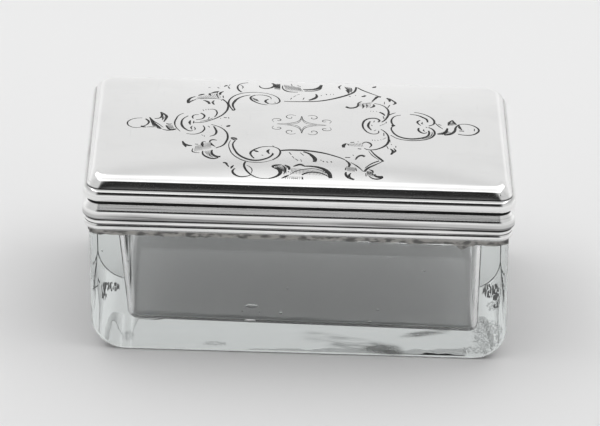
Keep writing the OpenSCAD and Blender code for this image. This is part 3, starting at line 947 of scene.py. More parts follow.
LEFT_LEAVES = (
    (0.55, 0.7, (-25.1, 15.6), (-26.1, 14.8), (-26.7, 13.2), (-26.7, 11.5)),
    (0.35, 0.5, (-24.9, 13.9), (-25.9, 12.9), (-26.6, 11.5)),
    (0.55, 0.6, (-24.4, 16.3), (-23.7, 16.9), (-23.0, 17.3)),
    (0.50, 0.4, (-21.7, 17.9), (-21.7, 17.2), (-21.5, 16.5)),
    (0.60, 0.5, (-21.4, 17.9), (-20.3, 18.8), (-19.5, 19.3)),
    (0.22, 0.5, (-19.8, 18.8), (-20.0, 17.0), (-19.5, 14.8)),
    (0.50, 0.6, (-18.4, 19.3), (-19.1, 18.5), (-19.2, 17.1)), (0.50, 0.5, (-18.5, 16.6), (-18.4, 15.3)),
    (0.40, 0.5, (-18.9, 13.9), (-18.7, 13.5)), (0.60, 0.6, (-23.1, 13.5), (-22.1, 12.7), (-21.6, 11.3)),
    (0.45, 0.6, (-20.6, 13.5), (-20.9, 12.3), (-20.5, 11.0)),
    (0.20, 0.5, (-25.0, 14.2), (-23.0, 14.7), (-20.8, 14.7), (-18.8, 14.3)),
    (0.45, 0.5, (-18.3, 22.5), (-17.8, 23.2), (-17.5, 23.4)), (0.45, 0.6, (-17.4, 22.7), (-17.0, 21.3)),
    (0.25, 0.5, (-16.9, 24.1), (-17.2, 23.0)), (0.45, 0.5, (-19.9, 21.9), (-19.5, 21.3)),
    (0.30, 0.5, (-22.1, 21.7), (-21.6, 21.5)), (0.55, 0.5, (-27.5, -9.3), (-27.1, -10.8), (-26.6, -12.3)),
    (0.55, 0.4, (-27.0, -10.6), (-26.1, -11.4), (-25.2, -11.5)),
    (0.40, 0.5, (-27.0, -11.6), (-26.4, -11.4), (-25.8, -11.6)),
    (0.45, 0.5, (-24.6, -10.7), (-23.8, -10.8)),
    (0.26, 0.5, (-25.0, -12.8), (-25.0, -14.5), (-23.4, -15.0)),
    (0.50, 0.5, (-22.8, -9.4), (-22.9, -10.6), (-22.7, -11.9)), (0.40, 0.5, (-22.7, -9.3), (-22.0, -9.6)),
    (0.45, 0.5, (-21.2, -9.6), (-20.9, -8.6), (-20.3, -8.3), (-19.5, -8.6)),
    (0.42, 0.5, (-20.9, -9.8), (-20.6, -10.8), (-19.8, -11.7)),
    (0.60, 0.7, (-20.5, -13.4), (-20.6, -14.6), (-20.2, -15.8), (-19.4, -16.5), (-18.5, -16.5)),
    (0.50, 0.6, (-22.7, -14.0), (-22.6, -15.5), (-21.7, -16.8), (-20.3, -17.5), (-19.0, -17.1)),
    (0.20, 0.5, (-21.2, -15.3), (-20.9, -16.3), (-20.2, -16.9)),
    (0.45, 0.3, (-17.9, -19.3), (-17.3, -19.4), (-16.9, -20.3), (-16.5, -21.2)),
    (0.42, 0.5, (-15.4, -20.4), (-15.8, -21.2), (-16.0, -22.0)),
    (0.45, 0.4, (-15.1, -21.8), (-15.6, -23.0), (-15.2, -24.4), (-14.0, -25.4), (-12.5, -25.3),
     (-11.4, -24.6)),
)
UPPER_FRAME = (
    (0.30, 0.3, (-16.1, 8.2), (-16.8, 10.3), (-17.1, 12.8), (-16.3, 15.8), (-14.8, 17.8), (-13.0, 18.9),
     (-10.5, 19.3), (-8.0, 18.8)),
    (0.30, 0.5, (-8.0, 18.8), (-6.0, 17.2), (-5.0, 15.0), (-5.2, 13.2), (-6.4, 12.3), (-8.0, 12.4)),
    (0.45, 0.4, (-15.6, 8.5), (-16.1, 11.0), (-15.7, 13.2), (-14.9, 15.1), (-13.6, 16.6), (-12.0, 17.5)),
    (0.50, 0.5, (-16.3, 8.2), (-15.9, 8.0), (-15.5, 8.5)),
    (0.40, 0.4, (-10.8, 17.5), (-11.8, 16.4), (-11.8, 14.9), (-10.8, 13.3), (-9.4, 12.1), (-7.9, 11.6)),
    (0.24, 0.5, (-10.8, 17.5), (-9.4, 17.7), (-8.0, 17.2), (-7.1, 16.2), (-7.0, 15.2)),
    (0.50, 0.5, (-7.6, 15.2), (-8.3, 14.3), (-8.2, 13.2), (-7.6, 12.5)),
    (0.35, 0.5, (-6.1, 13.6), (-6.0, 13.0)),
    (0.36, 0.2, (-14.1, 19.2), (-14.8, 20.5), (-15.1, 22.0), (-14.9, 23.7), (-14.1, 24.9), (-12.6, 25.6)),
    (0.24, 0.5, (-14.5, 23.9), (-13.9, 23.1), (-13.8, 22.3), (-14.0, 21.5)),
    (0.50, 0.7, (-9.9, 23.8), (-9.6, 22.7), (-8.6, 22.0), (-7.5, 22.3), (-6.5, 23.4), (-6.3, 24.7),
     (-6.8, 25.7)), (0.36, 0.5, (-4.3, 24.3), (-4.2, 22.2), (-3.2, 20.6), (-1.8, 20.2), (-0.6, 20.2)),
    (0.32, 0.5, (-2.2, 25.6), (-2.0, 24.3)), (0.30, 0.5, (-0.8, 24.7), (0.1, 24.0)),
    (0.75, 0.6, (0.6, 22.1), (2.0, 22.1), (3.6, 22.6), (4.6, 23.8), (5.1, 25.5)),
    (0.36, 0.5, (1.0, 20.9), (3.2, 21.3), (4.6, 22.4), (5.2, 24.4)),
    (0.50, 0.6, (-3.9, 14.1), (-1.7, 14.1), (0.8, 14.3), (3.3, 14.6), (5.5, 15.3), (7.8, 16.6),
     (9.6, 17.9), (11.5, 19.6), (12.8, 21.3), (13.3, 23.2), (13.4, 24.8)),
    (0.40, 0.5, (0.9, 16.7), (0.6, 15.6)), (0.65, 0.4, (2.0, 15.2), (3.2, 16.3), (3.9, 17.7), (3.7, 19.3)),
    (0.36, 0.5, (-2.4, 15.4), (-2.1, 16.4)), (0.26, 0.5, (-1.7, 16.9), (-1.1, 18.0)),
    (0.24, 0.5, (-0.9, 18.3), (-0.2, 18.8)), (0.30, 0.5, (4.9, 18.7), (5.1, 18.2)),
    (0.42, 0.5, (6.1, 19.6), (6.3, 19.0)), (0.22, 0.5, (7.2, 19.6), (7.2, 19.1)),
    (0.22, 0.5, (7.9, 19.7), (7.9, 19.2)),
)
LOWER_FRAME = (
    (0.50, 0.5, (-16.3, -7.0), (-15.5, -7.1), (-15.0, -7.6), (-15.0, -8.1)),
    (0.45, 0.4, (-16.2, -7.3), (-15.7, -7.8), (-15.2, -8.4)),
    (0.50, 0.6, (-15.2, -8.4), (-15.7, -9.8), (-15.7, -11.3), (-15.2, -13.3), (-14.4, -15.2),
     (-13.0, -16.8), (-11.4, -17.7), (-9.9, -17.8), (-8.3, -17.1), (-6.9, -15.8), (-6.3, -14.3)),
    (0.26, 0.5, (-16.3, -8.3), (-16.7, -10.5), (-16.4, -13.0), (-15.7, -15.2), (-14.3, -17.1),
     (-12.7, -18.3), (-10.5, -18.8), (-8.3, -18.5), (-6.4, -17.4)),
    (0.34, 0.3, (-6.4, -17.4), (-5.2, -15.8), (-4.7, -14.2), (-4.7, -13.0), (-5.1, -12.0), (-6.1, -11.2),
     (-7.4, -11.0)),
    (0.40, 0.4, (-10.7, -16.9), (-11.3, -15.8), (-11.6, -14.4), (-11.1, -13.2), (-10.2, -12.2),
     (-8.9, -11.3), (-7.4, -11.0)), (0.50, 0.5, (-10.9, -13.0), (-10.2, -13.5), (-9.7, -13.8)),
    (0.50, 0.5, (-7.2, -12.4), (-7.6, -13.3), (-7.2, -14.6)), (0.50, 0.5, (-6.5, -14.1), (-6.3, -15.2)),
    (0.35, 0.5, (-9.0, -15.2), (-8.6, -15.5)), (0.40, 0.5, (-6.5, -10.6), (-6.1, -10.9)),
    (0.55, 0.3, (-4.5, -12.8), (-3.0, -12.5), (-0.8, -12.4), (1.4, -12.5), (3.9, -13.0), (5.8, -13.6),
     (7.8, -14.6), (9.6, -15.7), (10.4, -16.4)),
    (0.75, 0.7, (0.7, -13.1), (2.0, -13.9), (2.9, -15.2), (3.4, -16.4), (3.3, -17.8)),
    (0.35, 0.5, (0.0, -13.6), (0.8, -14.9)), (0.40, 0.5, (-2.6, -13.6), (-2.1, -14.7)),
    (0.36, 0.5, (-1.9, -15.4), (-1.4, -16.4)), (0.40, 0.5, (-1.2, -16.6), (-0.5, -17.4)),
    (0.30, 0.5, (0.1, -16.8), (0.3, -17.8)), (0.36, 0.5, (4.7, -16.7), (4.9, -17.1)),
    (0.45, 0.5, (5.2, -17.2), (5.5, -17.7)), (0.50, 0.5, (6.1, -17.4), (6.4, -17.9)),
    (0.50, 0.5, (7.1, -17.3), (7.3, -17.8)),
    (0.40, 0.3, (-12.7, -18.6), (-13.0, -20.0), (-12.7, -21.8), (-11.9, -23.6), (-10.8, -25.0),
     (-9.3, -25.9), (-7.2, -26.0)),
    (0.70, 0.6, (-7.2, -26.0), (-5.6, -25.0), (-4.7, -23.7), (-4.6, -22.6), (-5.1, -21.6), (-6.0, -21.0)),
    (0.60, 0.5, (-6.2, -21.1), (-6.3, -20.3), (-5.5, -19.8), (-4.3, -19.6)),
    (0.22, 0.5, (-12.4, -20.2), (-11.6, -21.0), (-11.1, -22.4), (-11.3, -23.9)),
    (0.34, 0.5, (-4.1, -19.7), (-3.4, -21.6), (-3.8, -23.9)),
    (0.60, 0.6, (-3.6, -19.6), (-2.7, -20.5), (-2.5, -21.8)), (0.50, 0.5, (-2.8, -22.5), (-2.6, -22.9)),
    (0.45, 0.5, (-2.6, -24.1), (-3.4, -24.9), (-4.3, -25.7)),
    (0.60, 0.6, (-1.6, -20.2), (-0.8, -19.6), (0.0, -19.2), (0.9, -19.8)),
    (0.80, 0.7, (0.8, -19.9), (2.6, -19.9), (4.5, -20.4), (5.8, -21.4), (6.7, -23.0), (7.0, -25.0)),
    (0.40, 0.3, (0.4, -23.9), (1.4, -23.0), (2.9, -22.5), (4.5, -22.8), (5.8, -23.6), (6.8, -24.7)),
    (0.26, 0.5, (-2.4, -24.0), (-1.0, -22.3), (1.0, -21.3), (3.2, -21.0), (4.8, -21.6), (6.0, -22.8)),
    (0.50, 0.5, (0.5, -24.8), (0.6, -25.9)), (0.36, 0.5, (-1.9, -25.4), (-0.6, -25.6)),
)
RIGHT_DIAMONDS = (
    (0.36, 0.3, (13.7, 24.5), (14.9, 22.8), (16.4, 21.3), (17.9, 19.9), (18.9, 19.0)),
    (0.60, 0.3, (19.3, 18.7), (18.7, 18.9), (17.9, 17.6), (17.1, 15.6)),
    (0.36, 0.5, (9.9, 25.8), (9.3, 24.6), (9.6, 23.0)),
    (0.50, 0.5, (10.9, 22.5), (11.5, 21.4), (11.5, 20.4)), (0.28, 0.5, (12.2, 24.2), (12.5, 22.5)),
    (0.50, 0.5, (11.6, 18.6), (12.0, 18.3)), (0.30, 0.5, (13.1, 19.5), (13.3, 19.1)),
    (0.60, 0.6, (14.6, 18.6), (15.1, 18.8), (15.6, 19.5)),
    (0.55, 0.5, (17.3, 24.7), (17.8, 25.1), (18.2, 25.7)),
    (0.60, 0.4, (20.7, 18.2), (21.3, 17.1), (21.3, 15.9)),
    (0.45, 0.6, (21.3, 18.0), (22.1, 16.6), (22.7, 15.1), (22.1, 14.3)),
    (0.30, 0.5, (20.1, 15.8), (20.0, 14.3)), (0.45, 0.5, (21.3, 13.9), (20.8, 12.2)),
    (0.55, 0.1, (10.8, 12.0), (11.7, 11.3), (13.1, 11.8), (13.7, 12.9), (13.8, 14.4), (14.6, 15.5)),
    (0.32, 0.5, (14.8, 11.3), (15.0, 12.6), (14.8, 14.0)),
    (0.50, 0.5, (17.4, 14.0), (17.5, 12.9), (16.6, 11.8)),
    (0.24, 0.5, (15.7, 11.6), (15.9, 13.0), (15.6, 14.2)),
    (0.24, 0.5, (14.9, 14.4), (16.5, 14.7), (17.2, 15.0)),
    (0.40, 0.6, (17.6, 14.6), (19.2, 13.8), (20.4, 12.2), (20.9, 10.4), (20.9, 8.5), (20.6, 6.8),
     (19.9, 4.8), (19.2, 3.7)), (0.50, 0.3, (18.8, 9.4), (19.6, 8.5), (20.0, 7.5)),
    (0.42, 0.5, (19.6, 7.1), (19.8, 5.6)), (0.22, 0.5, (16.7, 10.0), (16.7, 9.6)),
    (0.22, 0.5, (17.3, 10.0), (17.3, 9.6)), (0.22, 0.5, (18.1, 10.0), (18.1, 9.6)),
    (0.42, 0.5, (19.0, -0.3), (19.8, -1.4), (20.5, -3.2), (20.7, -5.0), (20.5, -7.2), (19.8, -8.8),
     (18.5, -10.2), (17.1, -11.0), (15.6, -11.0), (14.9, -10.4)), (0.40, 0.5, (19.6, -2.1), (19.6, -3.7)),
    (0.24, 0.5, (20.1, -4.6), (19.3, -5.6)), (0.26, 0.5, (16.8, -5.9), (16.9, -6.4)),
    (0.24, 0.5, (17.4, -6.0), (17.5, -6.5)), (0.24, 0.5, (18.1, -5.9), (18.2, -6.4)),
    (0.24, 0.5, (18.8, -5.6), (18.9, -6.0)),
    (0.38, 0.5, (14.5, -8.1), (15.2, -7.3), (16.2, -7.7), (16.6, -8.8), (16.1, -10.0)),
    (0.70, 0.4, (10.1, -10.4), (10.1, -9.3), (10.7, -8.3)), (0.35, 0.5, (11.3, -9.1), (11.0, -8.4)),
    (0.55, 0.5, (11.7, -7.7), (12.6, -7.6)), (0.26, 0.5, (13.3, -7.3), (13.7, -7.2)),
    (0.60, 0.5, (13.4, -10.7), (14.2, -10.9)), (0.26, 0.5, (21.0, -5.6), (21.0, -7.0)),
    (0.35, 0.5, (21.2, -7.8), (21.4, -8.2)), (0.40, 0.5, (22.3, -8.7), (22.3, -9.5)),
    (0.36, 0.5, (20.2, -9.0), (20.5, -10.3)), (0.55, 0.6, (21.0, -10.2), (21.6, -11.4), (21.1, -13.1)),
    (0.34, 0.5, (21.8, -9.9), (22.2, -11.2), (21.7, -12.3)),
    (0.46, 0.7, (16.4, -11.3), (17.4, -13.5), (18.6, -15.4), (19.3, -16.5)),
    (0.20, 0.5, (15.9, -11.7), (16.8, -13.9), (18.2, -15.8)), (0.50, 0.5, (19.3, -16.5), (18.7, -16.7)),
    (0.46, 0.7, (18.8, -16.9), (17.1, -18.5), (15.6, -20.0), (14.8, -21.6)),
    (0.36, 0.2, (18.3, -16.3), (16.6, -17.7), (14.9, -20.0)),
    (0.30, 0.5, (11.7, -17.5), (13.2, -19.2), (14.6, -21.6)),
    (0.50, 0.6, (10.5, -16.5), (11.4, -18.3), (11.2, -19.7)), (0.60, 0.5, (10.4, -15.2), (11.6, -15.2)),
    (0.40, 0.5, (12.2, -13.8), (12.4, -14.2)),
    (0.60, 0.2, (15.0, -14.5), (14.3, -14.0), (13.5, -14.5), (12.8, -16.1)),
    (0.40, 0.5, (10.5, -20.0), (10.4, -21.2)),
    (0.60, 0.7, (10.6, -22.0), (10.5, -23.0), (11.1, -24.4), (12.4, -25.3)),
    (0.40, 0.5, (11.7, -22.4), (11.3, -23.5), (11.7, -24.6)), (0.40, 0.5, (12.9, -20.2), (13.0, -21.4)),
    (0.40, 0.5, (15.9, -20.6), (16.6, -21.0), (16.9, -22.0)),
    (0.70, 0.7, (17.2, -22.6), (17.4, -23.4), (18.2, -23.8), (19.1, -23.6)),
    (0.34, 0.5, (15.1, -22.3), (15.2, -23.7)),
    (0.46, 0.6, (15.9, -23.6), (16.8, -24.6), (18.1, -24.7), (19.1, -24.0)),
)
RIGHT_SCROLLS = (
    (0.40, 0.3, (18.4, 3.6), (18.7, 4.6), (18.0, 5.6), (16.8, 5.7), (15.5, 4.8), (14.8, 3.0),
     (14.7, 1.0), (15.2, -1.0), (16.2, -2.5), (17.4, -2.9), (18.3, -2.3), (18.4, -1.1)),
    (0.50, 0.5, (16.5, 4.0), (16.1, 2.6), (16.0, 1.0), (16.7, -0.9)), (0.36, 0.5, (17.5, 4.4), (17.3, 3.5)),
    (0.36, 0.5, (16.8, 2.0), (16.9, 1.4)), (0.30, 0.5, (17.8, -0.7), (17.3, -1.2)),
    (0.40, 0.5, (20.3, 4.0), (20.2, 3.2)), (0.24, 0.5, (20.0, 3.0), (18.7, 1.6)),
    (0.24, 0.5, (18.9, -0.2), (19.6, -1.0)),
    (0.36, 0.3, (22.1, 2.0), (21.7, 3.0), (21.5, 4.4), (21.8, 6.2), (22.5, 7.4), (23.8, 8.2)),
    (0.45, 0.6, (26.0, 8.8), (27.7, 8.4), (28.9, 7.4), (29.9, 6.2), (30.1, 4.6)),
    (0.28, 0.5, (20.9, 7.6), (21.6, 8.6), (22.6, 9.4)),
    (0.38, 0.6, (27.0, 10.1), (28.9, 9.4), (30.3, 8.2), (31.3, 6.7), (31.7, 4.9), (31.3, 3.4), (30.3, 2.6)),
    (0.70, 0.5, (21.7, 2.6), (21.9, 2.1), (21.7, 1.5)),
    (0.50, 0.6, (21.7, 1.5), (21.4, 0.5), (21.6, -1.0), (22.4, -2.9), (23.6, -4.1), (25.2, -4.7),
     (27.1, -4.6), (28.6, -4.0), (29.9, -2.9), (30.3, -1.3), (30.2, 0.0)),
    (0.38, 0.7, (21.2, -3.2), (22.7, -4.8), (25.2, -5.6), (28.0, -5.3), (30.0, -4.4), (31.3, -2.6),
     (31.6, -0.7), (31.1, 0.9), (30.2, 1.8)),
    (0.24, 0.5, (28.4, -4.6), (30.0, -3.7), (30.9, -2.1), (31.0, -0.5)),
    (0.40, 0.4, (28.3, 5.6), (27.7, 4.8), (27.8, 3.7), (28.4, 2.7)),
    (0.26, 0.5, (28.9, 4.6), (28.7, 3.8), (29.0, 3.4)),
    (0.45, 0.4, (27.9, 1.3), (27.8, 0.1), (28.3, -1.0), (29.1, -1.5), (29.8, -1.0)),
    (0.26, 0.5, (29.1, 0.6), (29.0, 0.0), (29.3, -0.6)), (0.40, 0.5, (29.6, 2.0), (29.9, 1.6)),
    (0.26, 0.4, (31.9, 4.3), (32.7, 2.6), (33.6, 1.2)), (0.40, 0.5, (32.6, 3.8), (33.3, 3.2)),
    (0.70, 0.4, (32.2, -1.6), (33.4, -1.3), (34.2, -0.4), (34.5, 0.6), (34.7, 1.8)),
    (0.60, 0.2, (33.8, -1.9), (35.2, -1.4), (36.3, 0.2), (36.7, 2.4), (37.4, 4.0)),
    (0.45, 0.5, (34.9, 3.3), (35.2, 4.9), (36.0, 6.4)), (0.50, 0.5, (36.0, 6.4), (36.4, 4.9), (36.9, 3.9)),
    (0.36, 0.6, (37.4, 4.0), (38.2, 4.4), (39.9, 4.3), (41.4, 3.2), (42.1, 1.5), (41.6, -0.1),
     (40.4, -1.3), (38.6, -1.6), (37.1, -1.2)), (0.50, 0.5, (37.5, 3.8), (37.6, 2.4), (38.1, 1.1)),
    (0.70, 0.5, (37.4, 0.6), (38.6, 0.6)), (0.40, 0.5, (41.1, 2.1), (41.0, 0.8)),
)
# A small star in the middle: one quarter of it, which is mirrored both ways about STAR
STAR = (0.3, 0.9)
STAR_FLAT = 0.9                 # its depth on the lid, as a share of its drawn depth
STAR_QUARTER = (
    (0.16, 0.3, (0.0, 5.2), (0.5, 2.6), (1.7, 1.2), (5.8, 0.0)),
    (0.12, 0.5, (0.0, 3.6), (0.4, 1.9), (1.1, 0.8), (3.6, 0.0)),
    (0.16, 0.6, (1.4, 5.4), (2.6, 5.9), (3.6, 5.0), (3.3, 3.8), (2.4, 3.8), (2.4, 4.6)),
    (0.16, 0.6, (6.6, 1.2), (6.9, 2.6), (5.8, 3.3), (4.9, 2.6), (5.2, 2.0), (5.8, 2.2)),
)
# Shaded parts of the leaves: (count, first start, last start, first end, last end, width)
SHADING = (
    (17, (-35.6, 2.6), (-33.9, -0.6), (-34.6, -2.2), (-32.6, -2.8), 0.14),
    (15, (-24.8, 15.4), (-19.6, 18.2), (-23.6, 14.0), (-19.0, 15.0), 0.14),
    (15, (-24.4, -11.6), (-21.0, -9.4), (-24.6, -14.4), (-20.8, -12.6), 0.15),
    (7, (-22.3, -14.2), (-20.9, -13.6), (-21.4, -16.2), (-20.0, -16.6), 0.14),
    (7, (-11.6, 16.0), (-10.4, 15.0), (-10.9, 14.2), (-9.8, 13.4), 0.14),
    (11, (-6.2, 25.2), (-4.9, 25.4), (-6.2, 21.8), (-4.9, 21.4), 0.18),
    (17, (-4.0, 25.0), (-0.2, 23.4), (-3.4, 21.4), (0.6, 20.6), 0.16),
    (13, (0.9, 21.7), (4.6, 23.4), (1.2, 21.0), (5.0, 22.8), 0.16),
    (11, (10.6, 24.8), (12.2, 24.2), (11.4, 21.8), (12.4, 21.0), 0.14),
    (9, (14.0, 14.6), (16.8, 14.2), (14.2, 12.2), (16.4, 12.0), 0.14),
    (11, (10.9, -8.4), (14.4, -7.8), (11.4, -9.6), (14.6, -9.8), 0.14),
    (11, (10.7, -19.4), (12.8, -19.8), (10.8, -21.6), (12.6, -21.8), 0.15),
    (11, (15.4, -21.2), (16.6, -21.6), (15.4, -23.4), (17.2, -23.8), 0.15),
    (13, (-5.9, -20.2), (-3.2, -20.0), (-4.4, -22.0), (-3.2, -23.6), 0.15),
    (27, (-1.9, -20.9), (5.6, -21.8), (-2.2, -23.6), (6.6, -24.0), 0.15),
    (9, (-3.2, -24.6), (0.4, -24.6), (-3.4, -26.0), (0.4, -26.0), 0.15),
    (9, (35.2, 4.8), (36.3, 5.4), (35.2, 3.2), (36.6, 3.6), 0.16),
    (9, (32.6, -1.0), (34.4, 0.2), (33.6, -2.0), (35.6, -0.6), 0.15),
    (9, (-32.9, 5.2), (-32.0, 3.0), (-32.7, 3.4), (-32.6, 1.4), 0.15),
    (7, (-31.4, -1.2), (-30.2, -1.0), (-30.8, -3.0), (-29.6, -3.4), 0.15),
)
SHADING_FINE = 0.62             # how much finer than their drawn width these are cut
# Section of a cut: (across in half widths, up in microns)
GROOVE = ((-1.0, -10), (-0.8, 14), (0.0, 4), (0.8, 14), (1.0, -10))
CUT_END = 0.4                   # width of a cut at its ends, as a share of its widest place


def star_cuts():
    """The star's quarter in all four quarters."""
    for across, along in ((1, 1), (-1, 1), (-1, -1), (1, -1)):
        for width, widest, *points in STAR_QUARTER:
            placed = [(STAR[0] + across * x, STAR[1] + along * y * STAR_FLAT) for x, y in points]
            yield (width, widest, *placed)


def shading_cuts():
    """Short fine cuts side by side, from one line to another."""
    for count, first, last, first_end, last_end, width in SHADING:
        for k in range(count):
            share = k / (count - 1)
            start, end = Vector(first).lerp(last, share), Vector(first_end).lerp(last_end, share)
            middle = start.lerp(end, 0.5 + 0.1 * math.sin(5 * k))  # strays, so that no two cuts are alike
            yield width * SHADING_FINE, 0.4, start, middle, end


class GLASSBOX_OT_engraving(bpy.types.Operator):
    """Engrave the lid: scrolls, shaded leaves and a small star"""
    bl_idname = "glassbox.engraving"
    bl_label = "Engraving"

    def execute(self, context):
        cuts = bpy.data.curves.new("engraving_cuts", "CURVE")
        cuts.dimensions, cuts.twist_mode = "3D", "Z_UP"
        cuts.bevel_mode, cuts.bevel_object = "OBJECT", self.groove(context)
        for group in (LEFT_FINIAL, LEFT_SCROLLS, LEFT_LEAVES, UPPER_FRAME, LOWER_FRAME, RIGHT_DIAMONDS,
                      RIGHT_SCROLLS, star_cuts(), shading_cuts()):
            for width, widest, *points in group:
                self.add_cut(cuts, width, widest, points)
        drawn = bpy.data.objects.new("engraving_cuts", cuts)
        context.scene.collection.objects.link(drawn)
        context.view_layer.update()
        mesh = bpy.data.meshes.new_from_object(drawn.evaluated_get(context.evaluated_depsgraph_get()))
        bm = bmesh.new()
        bm.from_mesh(mesh)
        for spare in (drawn, cuts.bevel_object):
            bpy.data.curves.remove(spare.data)
        bpy.data.meshes.remove(mesh)
        self.lay_on_lid(bm)
        add_piece("lid_engraving", bm, "lid", "cut_silver", weighted=False, closed=False)
        return {"FINISHED"}

    def groove(self, context):
        """Section of a cut, one half width wide on each side."""
        section = bpy.data.curves.new("engraving_groove", "CURVE")
        section.dimensions = "2D"
        line = section.splines.new("POLY")
        line.points.add(len(GROOVE) - 1)
        for point, (across, _) in zip(line.points, GROOVE):
            point.co = (across, 0, 0, 1)
        made = bpy.data.objects.new("engraving_groove", section)
        context.scene.collection.objects.link(made)
        return made

    def add_cut(self, cuts, width, widest, points):
        """A smooth line through the points, which tapers from its widest place to its ends."""
        line = cuts.splines.new("BEZIER")
        line.bezier_points.add(len(points) - 1)
        line.resolution_u = CUT_STEPS
        reach = max(widest, 1 - widest)
        for k, (knot, place) in enumerate(zip(line.bezier_points, points)):
            knot.co = (place[0] * MM, place[1] * MM, 0)
            near = 1 - abs(k / (len(points) - 1) - widest) / reach
            knot.radius = width * settings("lid").cut_width / 2 * MM * (CUT_END + (1 - CUT_END) * near)
        for knot in line.bezier_points:
            knot.handle_left_type = knot.handle_right_type = "AUTO"

    def lay_on_lid(self, bm):
        """Lifts every cut to the dome: its lips stand proud and its edges lie under the silver."""
        base_z = shoulder(settings("lid"))[-1][1]
        for v in bm.verts:
            _, microns = GROOVE[v.index % len(GROOVE)]
            v.co.z = base_z + dome_height(v.co.x, v.co.y) + microns * MICRON
        bm.normal_update()
        if sum(f.normal.z for f in bm.faces) < 0:
            bmesh.ops.reverse_faces(bm, faces=bm.faces)


# ---- hinge ----

class GLASSBOX_OT_hinge(bpy.types.Operator):
    """Make the hinge: two leaves, five knuckles and the peened pin"""
    bl_idname = "glassbox.hinge"
    bl_label = "Tube Hinge"

    def execute(self, context):
        hinge = settings("hinge")
        for node, body in (("collar_hinge_leaf", "base"), ("lid_hinge_leaf", "lid")):
            self.add(node, self.slab(bmesh.new(), *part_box(node), hinge.edge), body)
        for node, leaf, body in (
                ("collar_knuckle_1", "collar_hinge_leaf", "base"),
                ("collar_knuckle_2", "collar_hinge_leaf", "base"),
                ("collar_knuckle_3", "collar_hinge_leaf", "base"),
                ("lid_knuckle_1", "lid_hinge_leaf", "lid"),
                ("lid_knuckle_2", "lid_hinge_leaf", "lid")):
            self.add(node, self.knuckle(node, leaf, hinge), body)
        self.add("hinge_pin", self.pin(hinge), "base")
        return {"FINISHED"}

    def add(self, node, bm, body):
        add_piece("fitted_" + node, bm, body, "hinge_silver", [node])

    def slab(self, bm, lo, hi, edge):
        """A strip of sheet with softened edges."""
        shape = Matrix.Translation((lo + hi) / 2) @ Matrix.Diagonal((*(hi - lo), 1))
        verts = bmesh.ops.create_cube(bm, size=1, matrix=shape)["verts"]
        bevel(bm, parts_of(verts, "link_edges"), edge, 2)
        return bm

    def turned(self, bm, profile, axis_y, axis_z):
        """Spins a profile of (x, radius) round the hinge axis."""
        verts = [bm.verts.new((x, axis_y, axis_z + radius)) for x, radius in profile]
        ring = verts + [bm.edges.new(pair) for pair in zip(verts, verts[1:] + verts[:1])]
        bmesh.ops.spin(bm, geom=ring, cent=(0, axis_y, axis_z), axis=(1, 0, 0), angle=2 * math.pi,
                       steps=HINGE_STEPS, use_merge=True)
        return bm

    def axis(self):
        joint = frame["joints"][0]
        return joint["pos_m"][1], joint["pos_m"][2]

    def knuckle(self, node, leaf, hinge):
        """A bored tube and the tongue that joins it to its leaf."""
        lo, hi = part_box(node)
        axis_y, axis_z = self.axis()
        edge = hinge.edge
        profile = [(lo.x, hinge.bore_r), (lo.x, hinge.knuckle_r - edge), (lo.x + edge, hinge.knuckle_r),
                   (hi.x - edge, hinge.knuckle_r), (hi.x, hinge.knuckle_r - edge), (hi.x, hinge.bore_r)]
        bm = self.turned(bmesh.new(), profile, axis_y, axis_z)
        hangs = lo.z < axis_z - hinge.knuckle_r - MERGE
        from_z, to_z = (lo.z, axis_z - hinge.bite) if hangs else (axis_z + hinge.bite, hi.z)
        tongue = Vector((lo.x, low(leaf).y, from_z)), Vector((hi.x, high(leaf).y, to_z))
        return self.slab(bm, *tongue, edge / 2)

    def pin(self, hinge):
        """The pin with a peened head at each end."""
        lo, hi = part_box("hinge_pin")
        axis_y, axis_z = self.axis()
        head_r, head_t, edge = (hi.z - lo.z) / 2, hinge.head_t, 2 * hinge.edge
        centre = 0.05 * MM                          # the profile stays this far off the axis
        profile = [(lo.x, centre), (lo.x, head_r - edge), (lo.x + edge, head_r),
                   (lo.x + head_t, head_r), (lo.x + head_t, hinge.pin_r), (hi.x - head_t, hinge.pin_r),
                   (hi.x - head_t, head_r), (hi.x - edge, head_r), (hi.x, head_r - edge), (hi.x, centre)]
        return self.turned(bmesh.new(), profile, axis_y, axis_z)


# ---- studio ----

FLOOR_RADIUS = 2.5              # metres
FLOOR_GAP = 0.05 * MM           # between the paper and the box
AIM = (0.64 * MM, 0, 22.6 * MM)  # the point in the middle of the picture
SENSOR = 36                     # width of the camera's sensor, in millimetres


